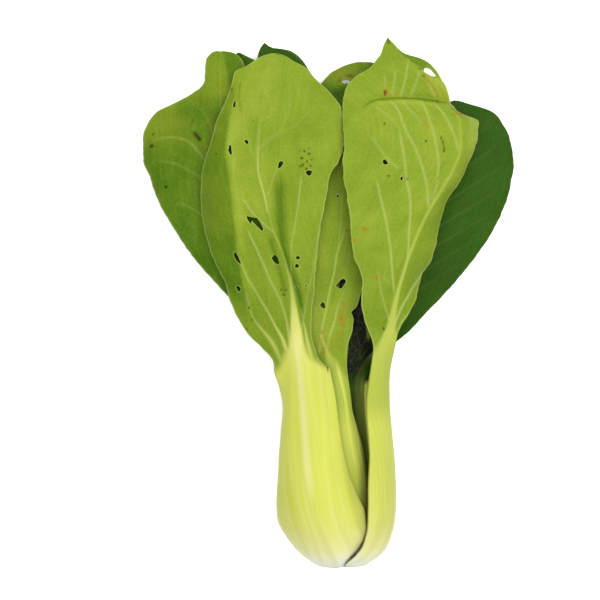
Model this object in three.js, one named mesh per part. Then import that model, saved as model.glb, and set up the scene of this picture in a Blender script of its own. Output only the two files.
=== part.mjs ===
// One head of bok choy, cut at the root and lying on its back on a flat surface.
//
// Millimetres. +Y runs from the cut root to the leaf tips, +Z is up, and +X is to the right for a
// viewer who looks down with the leaf tips at the top. The origin is the middle of the small flat
// spot that the thickest part of the head rests on.
//
// Every leaf is one closed solid: a thick cupped stalk that turns into a thin blade. The stalks nest
// round the head's axis. The blades lie on each other in two flattened stacks, one that faces up and
// one that lies on the surface.
import * as THREE from "three";

// Driving dimensions of the head.
const BULB_RADIUS = 28; // at its thickest, where the stalks overlap
const BULB_STATION = 30; // how far the thickest part is from the cut root
const NECK_STATION = 90; // where the stalks end and the blades begin
const AXIS_HEIGHT = 26.8; // a little less than the bulb's radius, which makes the flat spot under it
const GAP = 0.5; // least air between two leaves where they nest
const BLADE_GAP = 1.0; // least air between two blades in a stack
const DIVERGENCE = 137.5; // degrees round the stem from one leaf to the next younger one
const FIRST_BEARING = 78; // of the oldest leaf, from straight up towards +X

const radians = (degrees) => (degrees * Math.PI) / 180;
const mix = (a, b, share) => a + (b - a) * share;
const clamp = (x, low, high) => Math.min(Math.max(x, low), high);
const smoothStep = (low, high, x) => {
  const t = clamp((x - low) / (high - low), 0, 1);
  return t * t * (3 - 2 * t);
};

// A smooth curve through [x, y] points that never overshoots them.
function curve(points) {
  const last = points.length - 1;
  const slope = (k) => (points[k + 1][1] - points[k][1]) / (points[k + 1][0] - points[k][0]);
  const tangents = points.map((_, k) => {
    if (k === 0) return slope(0);
    if (k === last) return slope(last - 1);
    const before = slope(k - 1);
    const after = slope(k);
    return before * after <= 0 ? 0 : (2 * before * after) / (before + after);
  });
  return (x) => {
    if (x <= points[0][0]) return points[0][1];
    if (x >= points[last][0]) return points[last][1];
    const k = points.findIndex((p) => p[0] > x) - 1;
    const [x0, y0] = points[k];
    const [x1, y1] = points[k + 1];
    const width = x1 - x0;
    const t = (x - x0) / width;
    return (
      y0 * (1 + 2 * t) * (1 - t) ** 2 +
      tangents[k] * width * t * (1 - t) ** 2 +
      y1 * t * t * (3 - 2 * t) -
      tangents[k + 1] * width * t * t * (1 - t)
    );
  };
}

// The bundle of stalks: an outer shell round the axis, as half-width and half-height along the head.
const bundleHalfWidth = curve([
  [0, 12.3], [1.5, 14.4], [3.5, 17.4], [7, 20.9], [13, 24.5], [20, 27.1], [BULB_STATION, BULB_RADIUS],
  [45, 27.4], [60, 26], [75, 25], [NECK_STATION, 25], [110, 27],
]);
const bundleHalfHeight = curve([
  [0, 12.3], [1.5, 14.4], [3.5, 17.4], [7, 20.9], [13, 24.5], [20, 27.1], [BULB_STATION, BULB_RADIUS],
  [45, 26.8], [60, 23.8], [75, 20.8], [NECK_STATION, 18.5], [110, 17.5],
]);
const bundleCentreHeight = curve([
  [0, AXIS_HEIGHT], [45, AXIS_HEIGHT], [70, 26], [NECK_STATION, 24.7], [110, 23],
]);

// The root sits a little to the right of the bulb's middle.
const ROOT_X = 1.4;
const bundleCentreX = curve([
  [0, ROOT_X], [4, ROOT_X], [8, 1], [14, 0], [20, -0.8], [BULB_STATION, -1.1], [60, -0.8],
  [NECK_STATION, -0.3],
]);

// The two stacks of blades, as heights over the surface: how high the middle of the stack's outer
// face is, and how far it bends at BLADE_SPAN from the middle.
const BLADE_SPAN = 64;
const topHeight = curve([
  [78, 46], [NECK_STATION, 43.5], [105, 41], [125, 38.5], [150, 36.5], [180, 34], [210, 31], [240, 28],
]);
const topDrop = curve([[78, 60], [NECK_STATION, 34], [105, 18], [125, 13], [150, 12], [200, 11], [240, 9]]);
const floorHeight = curve([[78, 6.5], [NECK_STATION, 6.5], [105, 4.5], [125, 2.4], [145, 1.3], [240, 0.9]]);
const floorRise = curve([[78, 16], [NECK_STATION, 11], [105, 6], [140, 3.5], [240, 3]]);

// Outline of an ordinary leaf: half-angle of the stalk in degrees along the head, and half-width of
// the blade as a share of its widest along the blade.
const ORDINARY_STALK = [
  [0, 50], [14, 54], [24, 50], [34, 46], [47, 39], [61, 33], [75, 29], [NECK_STATION, 25], [110, 25],
];
const bladeShape = curve([
  [0, 0.24], [0.06, 0.33], [0.16, 0.52], [0.3, 0.77], [0.45, 0.94], [0.6, 1], [0.74, 0.96],
  [0.85, 0.82], [0.93, 0.6], [0.975, 0.37], [1, 0],
]);

// Thickness of an ordinary leaf along the head, at its midrib and away from it.
const ribThickness = curve([
  [NECK_STATION - 10, 4.6], [105, 3.4], [125, 2.5], [150, 1.9], [180, 1.5], [240, 1.1],
]);
const ribWidth = curve([[NECK_STATION - 10, 6], [105, 4], [125, 2.8], [150, 2.2], [240, 1.6]]);
const BLADE_THICKNESS = 0.8;
const STALK_EDGE = 1.5;

const OUTER_GREEN = 0x94ae42;
const MIDDLE_GREEN = 0xa3b84c;
const UNDER_GREEN = 0x4f7a22;
const HEART_GREEN = 0xc4d36a;
const ROOT_CREAM = 0xe8e2b8;

// The leaves, oldest and outermost first.
//   turn        degrees added to the bearing that the spiral of leaves gives
//   bearing     [station, degrees] pairs, how the stalk then leans round the head on its way up
//   stalk       thickness at the bulb
//   tuck        how far its left and its right margin bend in
//   stalkLeft, stalkRight   [station, half-angle] pairs of a stalk with margins of its own
//   wing        [station, width] pairs, how far a thin wing widens the top of the stalk on its left
//   face        1 where the blade joins the stack that faces up, -1 where it lies on the surface
//   middle      [station, x] pairs, the midrib of the blade seen from above
//   left, right   [station, half-width] pairs of a blade with an outline of its own
//   width       half-width of an ordinary blade
//   tip         the station where the blade ends
//   fine        whether it has a finer mesh, as the large leaves on top do
const LEAVES = [
  {
    name: "leaf_right", colour: OUTER_GREEN, turn: 0, stalk: 7, tuck: [1, 1], face: 1, tip: 238, fine: true,
    bearing: [[0, 0], [34, 0], [52, -3], [74, -11], [90, -17], [105, -20]],
    stalkLeft: [[0, 70], [5, 57], [11, 48], [20, 44], [34, 44], [52, 38], [74, 31], [90, 20], [105, 15]],
    middle: [
      [80, 22], [97, 23], [106, 23.6], [119, 26], [130, 29], [139, 32.2], [151, 37], [161, 42.2], [169, 47.2],
      [179, 52.9], [189, 56], [200, 55.5], [207, 49], [214, 41], [222, 32], [230, 26.5], [238, 23],
    ],
    left: [
      [80, 8], [97, 7], [101, 7.9], [106, 10.1], [112.5, 13.1], [119, 15.4], [127, 16.9], [130, 18.2],
      [133.7, 21], [138, 24.5], [142, 26.6], [153, 32], [164, 39.6], [173, 46.7], [178, 49.9], [187, 52.8],
      [200, 53], [207, 46.5], [214, 37.2], [220, 25.5], [224, 15.5], [227.3, 10.4], [230, 6.8],
      [235, 3], [238, 0],
    ],
    right: [
      [80, 3], [97, 3], [103, 3.2], [108, 4.7], [112.5, 7.1], [117, 8.6], [120.6, 9.6], [126, 9.5],
      [130.5, 9.4],
      [134.5, 10.4], [138, 11], [142.6, 10.9], [148.5, 10.1], [153, 8.8], [160, 7.2], [166.5, 6], [173, 6.3],
      [181, 6.4], [184.5, 6.8], [189, 7.5], [192, 8.4], [197, 9.2], [201.4, 10.2], [202.6, 9.4], [203.7, 6.9],
      [205.6, 3.8], [208, 4.2], [212.4, 8], [218.3, 12.2], [222.8, 14.1], [226, 13.4], [228.2, 11.3],
      [229.6, 8],
      [231, 4.2], [234, 2.4], [238, 0],
    ],
  },
  {
    name: "leaf_under", colour: UNDER_GREEN, turn: -35.5, stalk: 7, tuck: [4.5, 1], face: -1, tip: 224,
    width: 36,
    bearing: [[0, 0], [60, 0], [90, 3], [105, 6]],
    middle: [[80, -2], [105, -7], [130, -16], [165, -26], [224, -32]],
  },
  {
    name: "leaf_front", colour: OUTER_GREEN, turn: 7, stalk: 7, tuck: [1, 6], face: 1, tip: 231.3, fine: true,
    bearing: [[0, -8], [16, -13], [29, -20], [45, -27], [65, -34], [79, -39], [96, -44]],
    stalkLeft: [
      [0, 62], [7, 72], [16, 70], [25, 61], [34, 52], [47, 47], [61, 48], [75, 43], [90, 31], [105, 28],
    ],
    stalkRight: [
      [0, 20], [7, 39], [16, 55], [25, 55], [34, 48], [47, 40.5], [61, 38], [75, 37], [90, 33], [105, 32],
    ],
    wing: [[70, 0], [75, 0.8], [81, 2.4], [87, 4.2], [91, 3.3], [95, 1.3], [99, 0]],
    middle: [
      [80, -16], [96, -17.6], [106, -18.5], [119, -19.8], [128, -21.2], [139, -23.9], [151, -28.8],
      [164, -32], [180, -35.6], [196, -35], [214, -32.4], [231.3, -28.5],
    ],
    left: [
      [80, 9], [90, 10], [97, 17.6], [106, 23], [119, 28.4], [128, 30], [139, 32.5], [151, 31.5], [164, 30.5],
      [173, 27.5], [187, 23.5], [205, 19], [214, 16.4], [220.5, 16], [223.3, 15.6], [225.3, 11.5], [228, 8],
      [230, 4.6], [231.3, 0],
    ],
    right: [
      [80, 13], [89.5, 13.3], [90.5, 9.3], [91.4, 5.6], [94.5, 5.6], [97, 6.2], [103.5, 6.6], [108, 7.1],
      [115, 8.1], [121.5, 9.8], [128, 11.3], [135, 13.4], [143, 16.8], [151, 21.2], [157.5, 24.1], [164, 27],
      [173, 30.8], [178, 33.6], [181, 35.8], [190, 37], [198, 36.5], [206, 34.3], [213, 29.4], [219, 22],
      [224, 16.8], [227.5, 9.5], [230, 5], [231.3, 0],
    ],
  },
  {
    name: "leaf_under_right", colour: UNDER_GREEN, turn: -4, stalk: 6, tuck: [3, 1], face: -1, tip: 212,
    width: 36,
    bearing: [[0, 0], [50, 2], [90, 16], [105, 22]],
    middle: [[80, 12], [105, 18], [130, 28], [165, 43], [212, 56]],
  },
  {
    name: "leaf_left", colour: OUTER_GREEN, turn: -4, stalk: 5.6, tuck: [3, 6], face: 1, tip: 234, fine: true,
    bearing: [[0, 0], [50, 2], [75, 14], [90, 24], [105, 30]],
    middle: [
      [80, -20], [97, -24], [110, -29], [125, -36], [145, -44], [170, -51], [205, -53], [234, -53.5],
    ],
    left: [
      [80, 5], [97, 6], [110, 10], [122, 16], [134.6, 22], [144.5, 26], [161.6, 31], [175, 34.5], [185, 37.4],
      [194, 37.6], [201, 35], [206.6, 30.5], [210, 23], [214, 15], [220, 7.6], [230, 6.6], [233, 4], [234, 0],
    ],
    right: [
      [80, 6], [97, 7], [110, 12], [125, 18], [145, 24], [170, 28], [195, 25], [212, 16], [222, 12.5],
      [228, 11], [231.5, 8.5], [233.2, 5], [234, 0],
    ],
  },
  {
    name: "leaf_between", colour: MIDDLE_GREEN, turn: -12, stalk: 5, tuck: [1.5, 1.5], face: 1, tip: 228.5,
    bearing: [[0, 0], [20, -1], [37, -3], [50, -12], [63, -20], [72, -25], [90, -40], [105, -42]],
    stalkRight: [
      [0, 50], [14, 52], [24, 50], [34, 48], [50, 46], [56, 43], [63, 34], [72, 27], [84, 29], [105, 30],
    ],
    middle: [
      [80, -1.5], [90, -4], [97, -6], [104, -6.8], [119, -4.3], [141, 0.5], [170, 3], [200, 7], [228.5, 13],
    ],
    left: [
      [80, 10], [97, 8], [106, 9], [119, 12], [130, 17], [150, 25], [175, 30], [198, 28], [210, 23],
      [218, 18], [223, 14.5], [226.5, 9], [228, 4], [228.5, 0],
    ],
    right: [
      [80, 6], [90, 8.4], [97, 10.6], [106.6, 13.9], [110.5, 14], [112.6, 12.8], [113.9, 12.1], [115.2, 13.3],
      [117, 14.2], [124, 14.6], [131, 15.2], [145, 19], [165, 24], [182, 25], [200, 21], [214, 15], [223, 10],
      [227, 6.5], [228.1, 3], [228.5, 0],
    ],
  },
  {
    name: "leaf_under_middle", colour: UNDER_GREEN, turn: -8, stalk: 4.6, tuck: [1.5, 1.5], face: -1,
    tip: 238.5,
    bearing: [[0, 0], [90, 0]],
    middle: [[80, 2], [110, 1], [150, -8], [200, -22], [238.5, -33]],
    left: [
      [80, 7], [97, 9], [110, 14], [125, 21], [145, 27], [165, 29], [185, 26], [205, 19], [220, 11], [230, 6],
      [236, 2.6], [238.5, 0],
    ],
    right: [
      [80, 7], [97, 9], [110, 14], [125, 22], [145, 29], [165, 31], [185, 29], [205, 23.5], [216, 20],
      [225, 17], [231, 14.5], [235, 10.5], [236, 3], [238.5, 0],
    ],
  },
  {
    name: "leaf_front_inner", colour: MIDDLE_GREEN, turn: -6, stalk: 4.2, tuck: [1.2, 1.2], face: 1, tip: 234,
    width: 21,
    bearing: [[0, 0], [90, 0]],
    middle: [[80, -8], [110, -14], [150, -26], [190, -37], [234, -45]],
  },
  {
    name: "leaf_right_inner", colour: MIDDLE_GREEN, turn: -14, stalk: 3.8, tuck: [1.2, 1.2], face: 1,
    tip: 210, width: 23,
    bearing: [[0, 0], [45, -8], [70, -20], [90, -30], [105, -34]],
    middle: [[80, 11], [110, 16], [150, 24], [210, 32]],
  },
  {
    name: "heart_leaf_left", colour: HEART_GREEN, turn: 0, stalk: 3.2, tuck: [1, 1], face: -1, tip: 182,
    width: 20,
    bearing: [[0, 0], [90, 0]],
    middle: [[80, -6], [110, -12], [182, -18]],
  },
  {
    name: "heart_leaf_right", colour: HEART_GREEN, turn: 20, stalk: 2.8, tuck: [1, 1], face: 1, tip: 162,
    width: 15,
    bearing: [[0, 0], [90, 0]],
    middle: [[80, 3], [110, 5], [162, 7]],
  },
];

// Where the stack of blades ends and the bundle of stalks begins: 0 is all stalk, 1 all blade.
const bladeShare = (station) => smoothStep(78, 106, station);

// All sizes inside the bundle shrink with it towards the root, so that the stalks stay nested.
const bundleScale = (station) => bundleHalfWidth(Math.min(station, BULB_STATION)) / BULB_RADIUS;

function bundlePoint(station, bearing, depth) {
  const step = 0.25;
  const slope = (bundleHalfWidth(station + step) - bundleHalfWidth(station)) / step;
  const steepness = Math.hypot(1, slope);
  const inward = (depth * bundleScale(station)) / steepness;
  const flatness = bundleHalfHeight(station) / bundleHalfWidth(station);
  const radius = bundleHalfWidth(station) - inward;
  return new THREE.Vector3(
    bundleCentreX(station) + radius * Math.sin(bearing),
    station + inward * slope,
    bundleCentreHeight(station) + radius * flatness * Math.cos(bearing),
  );
}

function stackPoint(face, station, x, depth) {
  const across = Math.min(Math.abs(x) / BLADE_SPAN, 1);
  const z =
    face > 0
      ? topHeight(station) - topDrop(station) * across ** 2.3 - depth
      : floorHeight(station) + floorRise(station) * across ** 2.6 + depth;
  return new THREE.Vector3(x, station, z);
}

// The margins of every blade ripple a little, and those of the large outer ones most.
const RIPPLE_HEIGHT = 0.8;
const RIPPLE_LENGTH = 27;
function ripple(leaf, station, side) {
  const phase = (2 * Math.PI * station) / RIPPLE_LENGTH + 2.1 * leaf.rank + (side < 0 ? 1.4 : 0);
  return RIPPLE_HEIGHT * (leaf.stalk / 7) * side ** 4 * Math.sin(phase) * smoothStep(105, 140, station);
}

// Forms that only one blade has, as a height added to its outer face.
const creaseX = curve([
  [119, -40.5], [128, -42.3], [136, -43.7], [144, -45], [151, -45.5], [160, -46.4], [169, -47.7],
  [178, -48.8], [186, -50], [196, -49], [205, -47.7], [213, -45.6], [224, -43],
]);
const grooveX = curve([
  [106, -14.2], [115, -15.5], [124, -17.3], [130.5, -19.5], [137, -21.8], [144, -23.6], [151, -24.6],
  [157.5, -25.1], [175, -25.6],
]);
const grooveHalfWidth = curve([[106, 0.9], [124, 1.1], [144, 1.5], [157, 2], [175, 2.3]]);
const foldStation = (x) => 209.5 - 0.0045 * (x - 29) ** 2;
const FORMS = {
  // The upper left of the front blade bends away along a crease, and a groove runs beside its midrib.
  leaf_front: (station, x) => {
    const away = -0.02 * Math.max(creaseX(station) - x, 0) ** 2 * smoothStep(100, 125, station);
    const groove = -1.6 * Math.exp(-(((x - grooveX(station)) / grooveHalfWidth(station)) ** 2));
    return away + groove * smoothStep(104, 135, station) * smoothStep(182, 166, station);
  },
  // The margin of the left blade sags towards the surface.
  leaf_left: (station, x) => -0.006 * Math.max(-50 - x, 0) ** 2,
  // The right blade is folded across near its tip, and its right half bends down over the side.
  leaf_right: (station, x, side) => {
    const fold = foldStation(x);
    const raised = 3.4 * smoothStep(150, 205, station) * smoothStep(fold + 2.5, fold, station);
    const over = -8 * side ** 2 * smoothStep(108, 135, station) * smoothStep(209, 203, station);
    return raised * smoothStep(6, 24, x) + (side > 0 ? over : 0);
  },
};

// Prepares one leaf: its curves, and how far inside the bundle and the stack it lies.
function prepare(leaf, rank) {
  const lean = curve(leaf.bearing);
  const home = FIRST_BEARING + DIVERGENCE * rank + leaf.turn;
  const blade = curve([
    ...Array.from({ length: 21 }, (_, k) => {
      const share = k / 20;
      return [mix(NECK_STATION, leaf.tip, share), (leaf.width ?? 0) * bladeShape(share)];
    }),
  ]);
  return {
    ...leaf,
    rank,
    bearingAt: (station) => home + lean(station),
    middleAt: curve(leaf.middle),
    leftAt: leaf.left ? curve(leaf.left) : blade,
    rightAt: leaf.right ? curve(leaf.right) : blade,
    halfAngles: [curve(leaf.stalkLeft ?? ORDINARY_STALK), curve(leaf.stalkRight ?? ORDINARY_STALK)],
    wingAt: leaf.wing ? curve(leaf.wing) : () => 0,
    form: FORMS[leaf.name] ?? (() => 0),
    depth: 0,
    layer: 0,
  };
}

const halfAngle = (leaf, station, side) => leaf.halfAngles[side < 0 ? 0 : 1](station);
const tucked = (leaf, side) => leaf.tuck[side < 0 ? 0 : 1] * side ** 2;

// Depths of a leaf's two faces in the bundle, at side -1 to 1 from its left to its right margin.
function stalkDepths(leaf, side) {
  const outer = leaf.depth + tucked(leaf, side);
  return [outer, outer + STALK_EDGE + (leaf.stalk - STALK_EDGE) * (1 - side ** 2)];
}

// Where a point of the blade lies from left to right. A leaf on the under side is seen from within,
// so the margin that is its left one round the stem lies on the right.
function acrossBlade(leaf, station, side) {
  const across = leaf.face * side;
  return leaf.middleAt(station) + across * (across < 0 ? leaf.leftAt(station) : leaf.rightAt(station));
}

// How much deeper than its thickness a blade is where it slopes, measured straight down.
function steepness(leaf, station, side) {
  const ends = [Math.max(side - 0.02, -1), Math.min(side + 0.02, 1)];
  const [a, b] = ends.map((end) => {
    const x = acrossBlade(leaf, station, end);
    return stackPoint(leaf.face, station, x, -leaf.form(station, x, end) - ripple(leaf, station, end));
  });
  return Math.hypot(1, clamp((b.z - a.z) / Math.max(Math.abs(b.x - a.x), 0.05), -2, 2));
}

// Depths of a leaf's two faces in the stack of blades, at x millimetres from the head's middle.
function bladeDepths(leaf, station, x, side) {
  const fromRib = (x - leaf.middleAt(station)) / ribWidth(station);
  const thin = smoothStep(leaf.tip, leaf.tip - 60, station);
  const rib = Math.max(ribThickness(station) - BLADE_THICKNESS, 0) * (0.4 + 0.6 * thin) * (leaf.stalk / 7);
  const bump = rib * Math.exp(-(fromRib ** 2));
  const outer = leaf.layer - 0.6 * bump - leaf.form(station, x, side) - ripple(leaf, station, side);
  return [outer, outer + (BLADE_THICKNESS + bump) * steepness(leaf, station, side)];
}

function leafPoint(leaf, station, side, inner) {
  const share = bladeShare(station);
  const stalk = new THREE.Vector3();
  const blade = new THREE.Vector3();
  if (share < 1) {
    const bearing = leaf.bearingAt(station) + side * halfAngle(leaf, station, side);
    stalk.copy(bundlePoint(station, radians(bearing), stalkDepths(leaf, side)[inner]));
  }
  if (share > 0) {
    const x = acrossBlade(leaf, station, side);
    blade.copy(stackPoint(leaf.face, station, x, bladeDepths(leaf, station, x, side)[inner]));
  }
  stalk.lerp(blade, share);
  stalk.x -= leaf.wingAt(station) * Math.max(-side, 0) ** 3;
  return stalk;
}

// Lets each leaf nest inside the older ones: its depth is the least that clears all of them.
function nest(leaves) {
  for (const leaf of leaves) {
    for (const older of leaves.slice(0, leaf.rank)) {
      for (let station = 0; station <= NECK_STATION; station += 3) {
        for (let side = -1; side <= 1; side += 0.1) {
          const bearing = leaf.bearingAt(station) + side * halfAngle(leaf, station, side);
          const turned = (((bearing - older.bearingAt(station) + 540) % 360) + 360) % 360 - 180;
          const half = halfAngle(older, station, turned);
          if (Math.abs(turned) > half + 3) continue;
          const needed = stalkDepths(older, clamp(turned / half, -1, 1))[1] + GAP;
          leaf.depth = Math.max(leaf.depth, needed - tucked(leaf, side));
        }
      }
      if (older.face !== leaf.face) continue;
      for (let station = NECK_STATION; station < Math.min(leaf.tip, older.tip); station += 3) {
        for (let side = -1; side <= 1; side += 0.1) {
          const x = acrossBlade(leaf, station, side);
          const offset = x - older.middleAt(station);
          const olderWidth = offset < 0 ? older.leftAt(station) : older.rightAt(station);
          if (Math.abs(offset) > olderWidth + 1) continue;
          const olderSide = clamp(offset / Math.max(olderWidth, 0.1), -1, 1);
          const needed = bladeDepths(older, station, x, olderSide)[1] + BLADE_GAP;
          const own = bladeDepths({ ...leaf, layer: 0 }, station, x, side)[0];
          leaf.layer = Math.max(leaf.layer, needed - own);
        }
      }
    }
  }
}

// A closed solid between a leaf's outer and inner face.
function leafGeometry(leaf) {
  const stalkStations = [0, 1.2, 3, 6, 10, 15, 21, 29, 38, 48, 58, 68, 77, 84, 89];
  const bladeRows = leaf.fine ? 29 : 16;
  const bladeStations = Array.from({ length: bladeRows }, (_, k) => {
    const share = (k + 0.5) / bladeRows;
    return mix(92, leaf.tip, share + 0.09 * Math.sin(2 * Math.PI * share) ** 2 * Math.sign(share - 0.5));
  });
  const stations = [...stalkStations, ...bladeStations];
  const sides = leaf.fine
    ? [-1, -0.86, -0.68, -0.5, -0.32, -0.14, 0, 0.14, 0.32, 0.5, 0.68, 0.86, 1]
    : [-1, -0.78, -0.5, -0.2, 0, 0.2, 0.5, 0.78, 1];
  const columns = sides.length;
  const corners = [];
  for (const inner of [0, 1]) {
    for (const station of stations) {
      for (const side of sides) corners.push(leafPoint(leaf, station, side, inner));
    }
  }
  const faceSize = stations.length * columns;
  const tips = [0, 1].map((inner) => corners.push(leafPoint(leaf, leaf.tip, 0, inner)) - 1);
  const at = (inner, row, column) => inner * faceSize + row * columns + column;
  const triangles = [];
  const quad = (a, b, c, d) => triangles.push(a, b, c, a, c, d);
  const last = stations.length - 1;
  for (let row = 0; row < last; row++) {
    for (let column = 0; column < columns - 1; column++) {
      const next = column + 1;
      const outer = [at(0, row, column), at(0, row, next), at(0, row + 1, next), at(0, row + 1, column)];
      const inner = outer.map((corner) => corner + faceSize);
      quad(...outer);
      triangles.push(inner[0], inner[2], inner[1], inner[0], inner[3], inner[2]);
    }
    quad(at(1, row, 0), at(0, row, 0), at(0, row + 1, 0), at(1, row + 1, 0));
    const edge = columns - 1;
    quad(at(0, row, edge), at(1, row, edge), at(1, row + 1, edge), at(0, row + 1, edge));
  }
  for (let column = 0; column < columns - 1; column++) {
    quad(at(0, 0, column + 1), at(0, 0, column), at(1, 0, column), at(1, 0, column + 1));
    triangles.push(at(0, last, column), at(0, last, column + 1), tips[0]);
    triangles.push(at(1, last, column + 1), at(1, last, column), tips[1]);
  }
  quad(at(1, last, 0), at(0, last, 0), tips[0], tips[1]);
  quad(at(0, last, columns - 1), at(1, last, columns - 1), tips[1], tips[0]);
  const positions = corners.flatMap((p) => [p.x, p.y - BULB_STATION, Math.max(p.z, 0)]);
  const geometry = new THREE.BufferGeometry();
  geometry.setAttribute("position", new THREE.Float32BufferAttribute(positions, 3));
  geometry.setIndex(triangles);
  geometry.computeVertexNormals();
  return geometry;
}

// The short stem that all the stalks grow from, with its cut face at the root end.
function rootGeometry() {
  const profile = [
    [0, 0], [10.4, 0], [11, 0.7], [10.1, 2.6], [8.6, 5], [6.8, 7.6], [4.8, 9.8], [2.2, 11.2], [0, 11.6],
  ];
  return new THREE.LatheGeometry(profile.map(([r, y]) => new THREE.Vector2(r, y)), 28);
}

const head = new THREE.Group();

function addMesh(name, geometry, colour, roughness) {
  const material = new THREE.MeshStandardMaterial({ color: colour, roughness, metalness: 0 });
  const mesh = new THREE.Mesh(geometry, material);
  mesh.name = name;
  head.add(mesh);
  return mesh;
}

const leaves = LEAVES.map(prepare);
nest(leaves);
for (const leaf of leaves) addMesh(leaf.name, leafGeometry(leaf), leaf.colour, 0.5);
const root = addMesh("root_stub", rootGeometry(), ROOT_CREAM, 0.8);
root.position.set(ROOT_X, -BULB_STATION, AXIS_HEIGHT);

export default head;
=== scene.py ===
import math

import bpy
import numpy as np
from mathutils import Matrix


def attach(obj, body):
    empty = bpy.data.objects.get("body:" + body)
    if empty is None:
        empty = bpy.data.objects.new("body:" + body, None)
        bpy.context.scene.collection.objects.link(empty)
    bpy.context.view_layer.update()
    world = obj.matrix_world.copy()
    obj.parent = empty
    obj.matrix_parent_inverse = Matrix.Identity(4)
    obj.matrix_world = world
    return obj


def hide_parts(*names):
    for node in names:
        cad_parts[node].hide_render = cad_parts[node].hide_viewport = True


# One head of bok choy lying on its back, seen from straight above.
# Every leaf is made from the same curves as its solid in the frame, with a finer mesh and with the
# veins, insect holes, spots and colours that the solid leaves out. A few curves differ from the
# solid's by a millimetre or two, to close gaps between the leaves and to sharpen the fold. Sizes here
# are in millimetres until a mesh is made, which is in metres.

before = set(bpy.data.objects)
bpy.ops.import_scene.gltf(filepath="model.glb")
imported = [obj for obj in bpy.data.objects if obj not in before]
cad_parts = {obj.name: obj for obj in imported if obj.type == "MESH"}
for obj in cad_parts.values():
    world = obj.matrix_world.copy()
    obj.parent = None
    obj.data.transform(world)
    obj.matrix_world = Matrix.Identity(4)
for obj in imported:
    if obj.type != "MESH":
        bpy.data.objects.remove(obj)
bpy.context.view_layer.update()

# The head's driving dimensions, as in the frame.
BULB_RADIUS = 28.0
BULB_STATION = 30.0  # stations are counted from the cut root towards the leaf tips
NECK_STATION = 90.0
AXIS_HEIGHT = 26.8
ROOT_X = 1.4
BLEND_START = 78  # from here to BLEND_END the stalk's shape turns into the blade's
BLEND_END = 106
BLADE_SPAN = 64.0
BLADE_THICKNESS = 0.8
STALK_EDGE = 1.5
RIPPLE_HEIGHT = 0.8
RIPPLE_LENGTH = 27.0
DIVERGENCE = 137.5
FIRST_BEARING = 78.0

# The camera looks straight down from CAMERA_HEIGHT, and its picture is VIEW_WIDTH wide at VIEW_LEVEL.
VIEW_WIDTH = 270.0
VIEW_LEVEL = 30.0
CAMERA_HEIGHT = 780.0
VIEW_CENTRE = (-16.65, 89.25)

# The light that reaches a level surface, where 1 shows a white surface as white, and the share of it
# that a leaf's gloss sends back.
WORLD_LIGHT = 0.74
TOTAL_LIGHT = 2.26
GLOSS_SHARE = 0.004
DARKEST = 0.0005
LEAF_GLOSS = 0.04
ROOT_GLOSS = 0.3

# How far the fine relief stands out.
PUCKER_HEIGHT = 0.2
CRIMP_HEIGHT = 0.25
VEIN_HEIGHT = 0.28
FOOT_HEIGHT = 0.22
FINEST_LINE = 0.45  # the half-width of the finest vein that the mesh can carry


# Curves and smooth steps

def curve(points):
    """A smooth curve through (x, y) points that never overshoots them."""
    xs = np.array([p[0] for p in points], float)
    ys = np.array([p[1] for p in points], float)
    slopes = np.diff(ys) / np.diff(xs)
    tangents = np.zeros(len(xs))
    tangents[0] = slopes[0]
    tangents[-1] = slopes[-1]
    for k in range(1, len(xs) - 1):
        before, after = slopes[k - 1], slopes[k]
        tangents[k] = 0.0 if before * after <= 0 else 2 * before * after / (before + after)

    def value(x):
        x = np.clip(np.asarray(x, float), xs[0], xs[-1])
        k = np.clip(np.searchsorted(xs, x, side="right") - 1, 0, len(xs) - 2)
        width = xs[k + 1] - xs[k]
        t = (x - xs[k]) / width
        return (
            ys[k] * (1 + 2 * t) * (1 - t) ** 2
            + tangents[k] * width * t * (1 - t) ** 2
            + ys[k + 1] * t * t * (3 - 2 * t)
            - tangents[k + 1] * width * t * t * (1 - t)
        )

    return value


def smooth_step(low, high, x):
    """0 at low, 1 at high, and a smooth rise or fall between."""
    t = np.clip((np.asarray(x, float) - low) / (high - low), 0, 1)
    return t * t * (3 - 2 * t)


def mix(a, b, share):
    return a + (b - a) * share


def hump(x, half_width):
    """1 where x is 0, falling away on both sides."""
    return np.exp(-((x / half_width) ** 2))


def wobble(seed, x, y, length):
    """Smooth unevenness between about -1 and 1, with lumps about as long as the length given."""
    draw = np.random.default_rng(seed)
    total = np.zeros(np.broadcast(x, y).shape)
    for _ in range(7):
        angle = draw.uniform(0, 2 * math.pi)
        pace = 2 * math.pi / length * draw.uniform(0.6, 1.5)
        phase = draw.uniform(0, 2 * math.pi)
        total += np.sin(pace * (math.cos(angle) * x + math.sin(angle) * y) + phase)
    return total / 3.6


# The bundle of stalks and the two stacks of blades

BULB_FOOT = [
    (0, 12.3), (1.5, 14.4), (3.5, 17.4), (7, 20.9), (13, 24.5), (20, 27.1), (BULB_STATION, BULB_RADIUS),
]
bundle_half_width = curve(BULB_FOOT + [(45, 27.4), (60, 26), (75, 25), (NECK_STATION, 25), (110, 27)])
bundle_half_height = curve(BULB_FOOT + [
    (45, 26.8), (60, 23.8), (75, 20.8), (NECK_STATION, 18.5), (110, 17.5),
])
bundle_centre_height = curve([
    (0, AXIS_HEIGHT), (45, AXIS_HEIGHT), (70, 26), (NECK_STATION, 24.7), (110, 23),
])
bundle_centre_x = curve([
    (0, ROOT_X), (4, ROOT_X), (8, 1), (14, 0), (20, -0.8), (BULB_STATION, -1.1), (60, -0.8),
    (NECK_STATION, -0.3),
])
top_height = curve([
    (78, 46), (NECK_STATION, 43.5), (105, 41), (125, 38.5), (150, 36.5), (180, 34), (210, 31), (240, 28),
])
top_drop = curve([(78, 60), (NECK_STATION, 34), (105, 18), (125, 13), (150, 12), (200, 11), (240, 9)])
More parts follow.
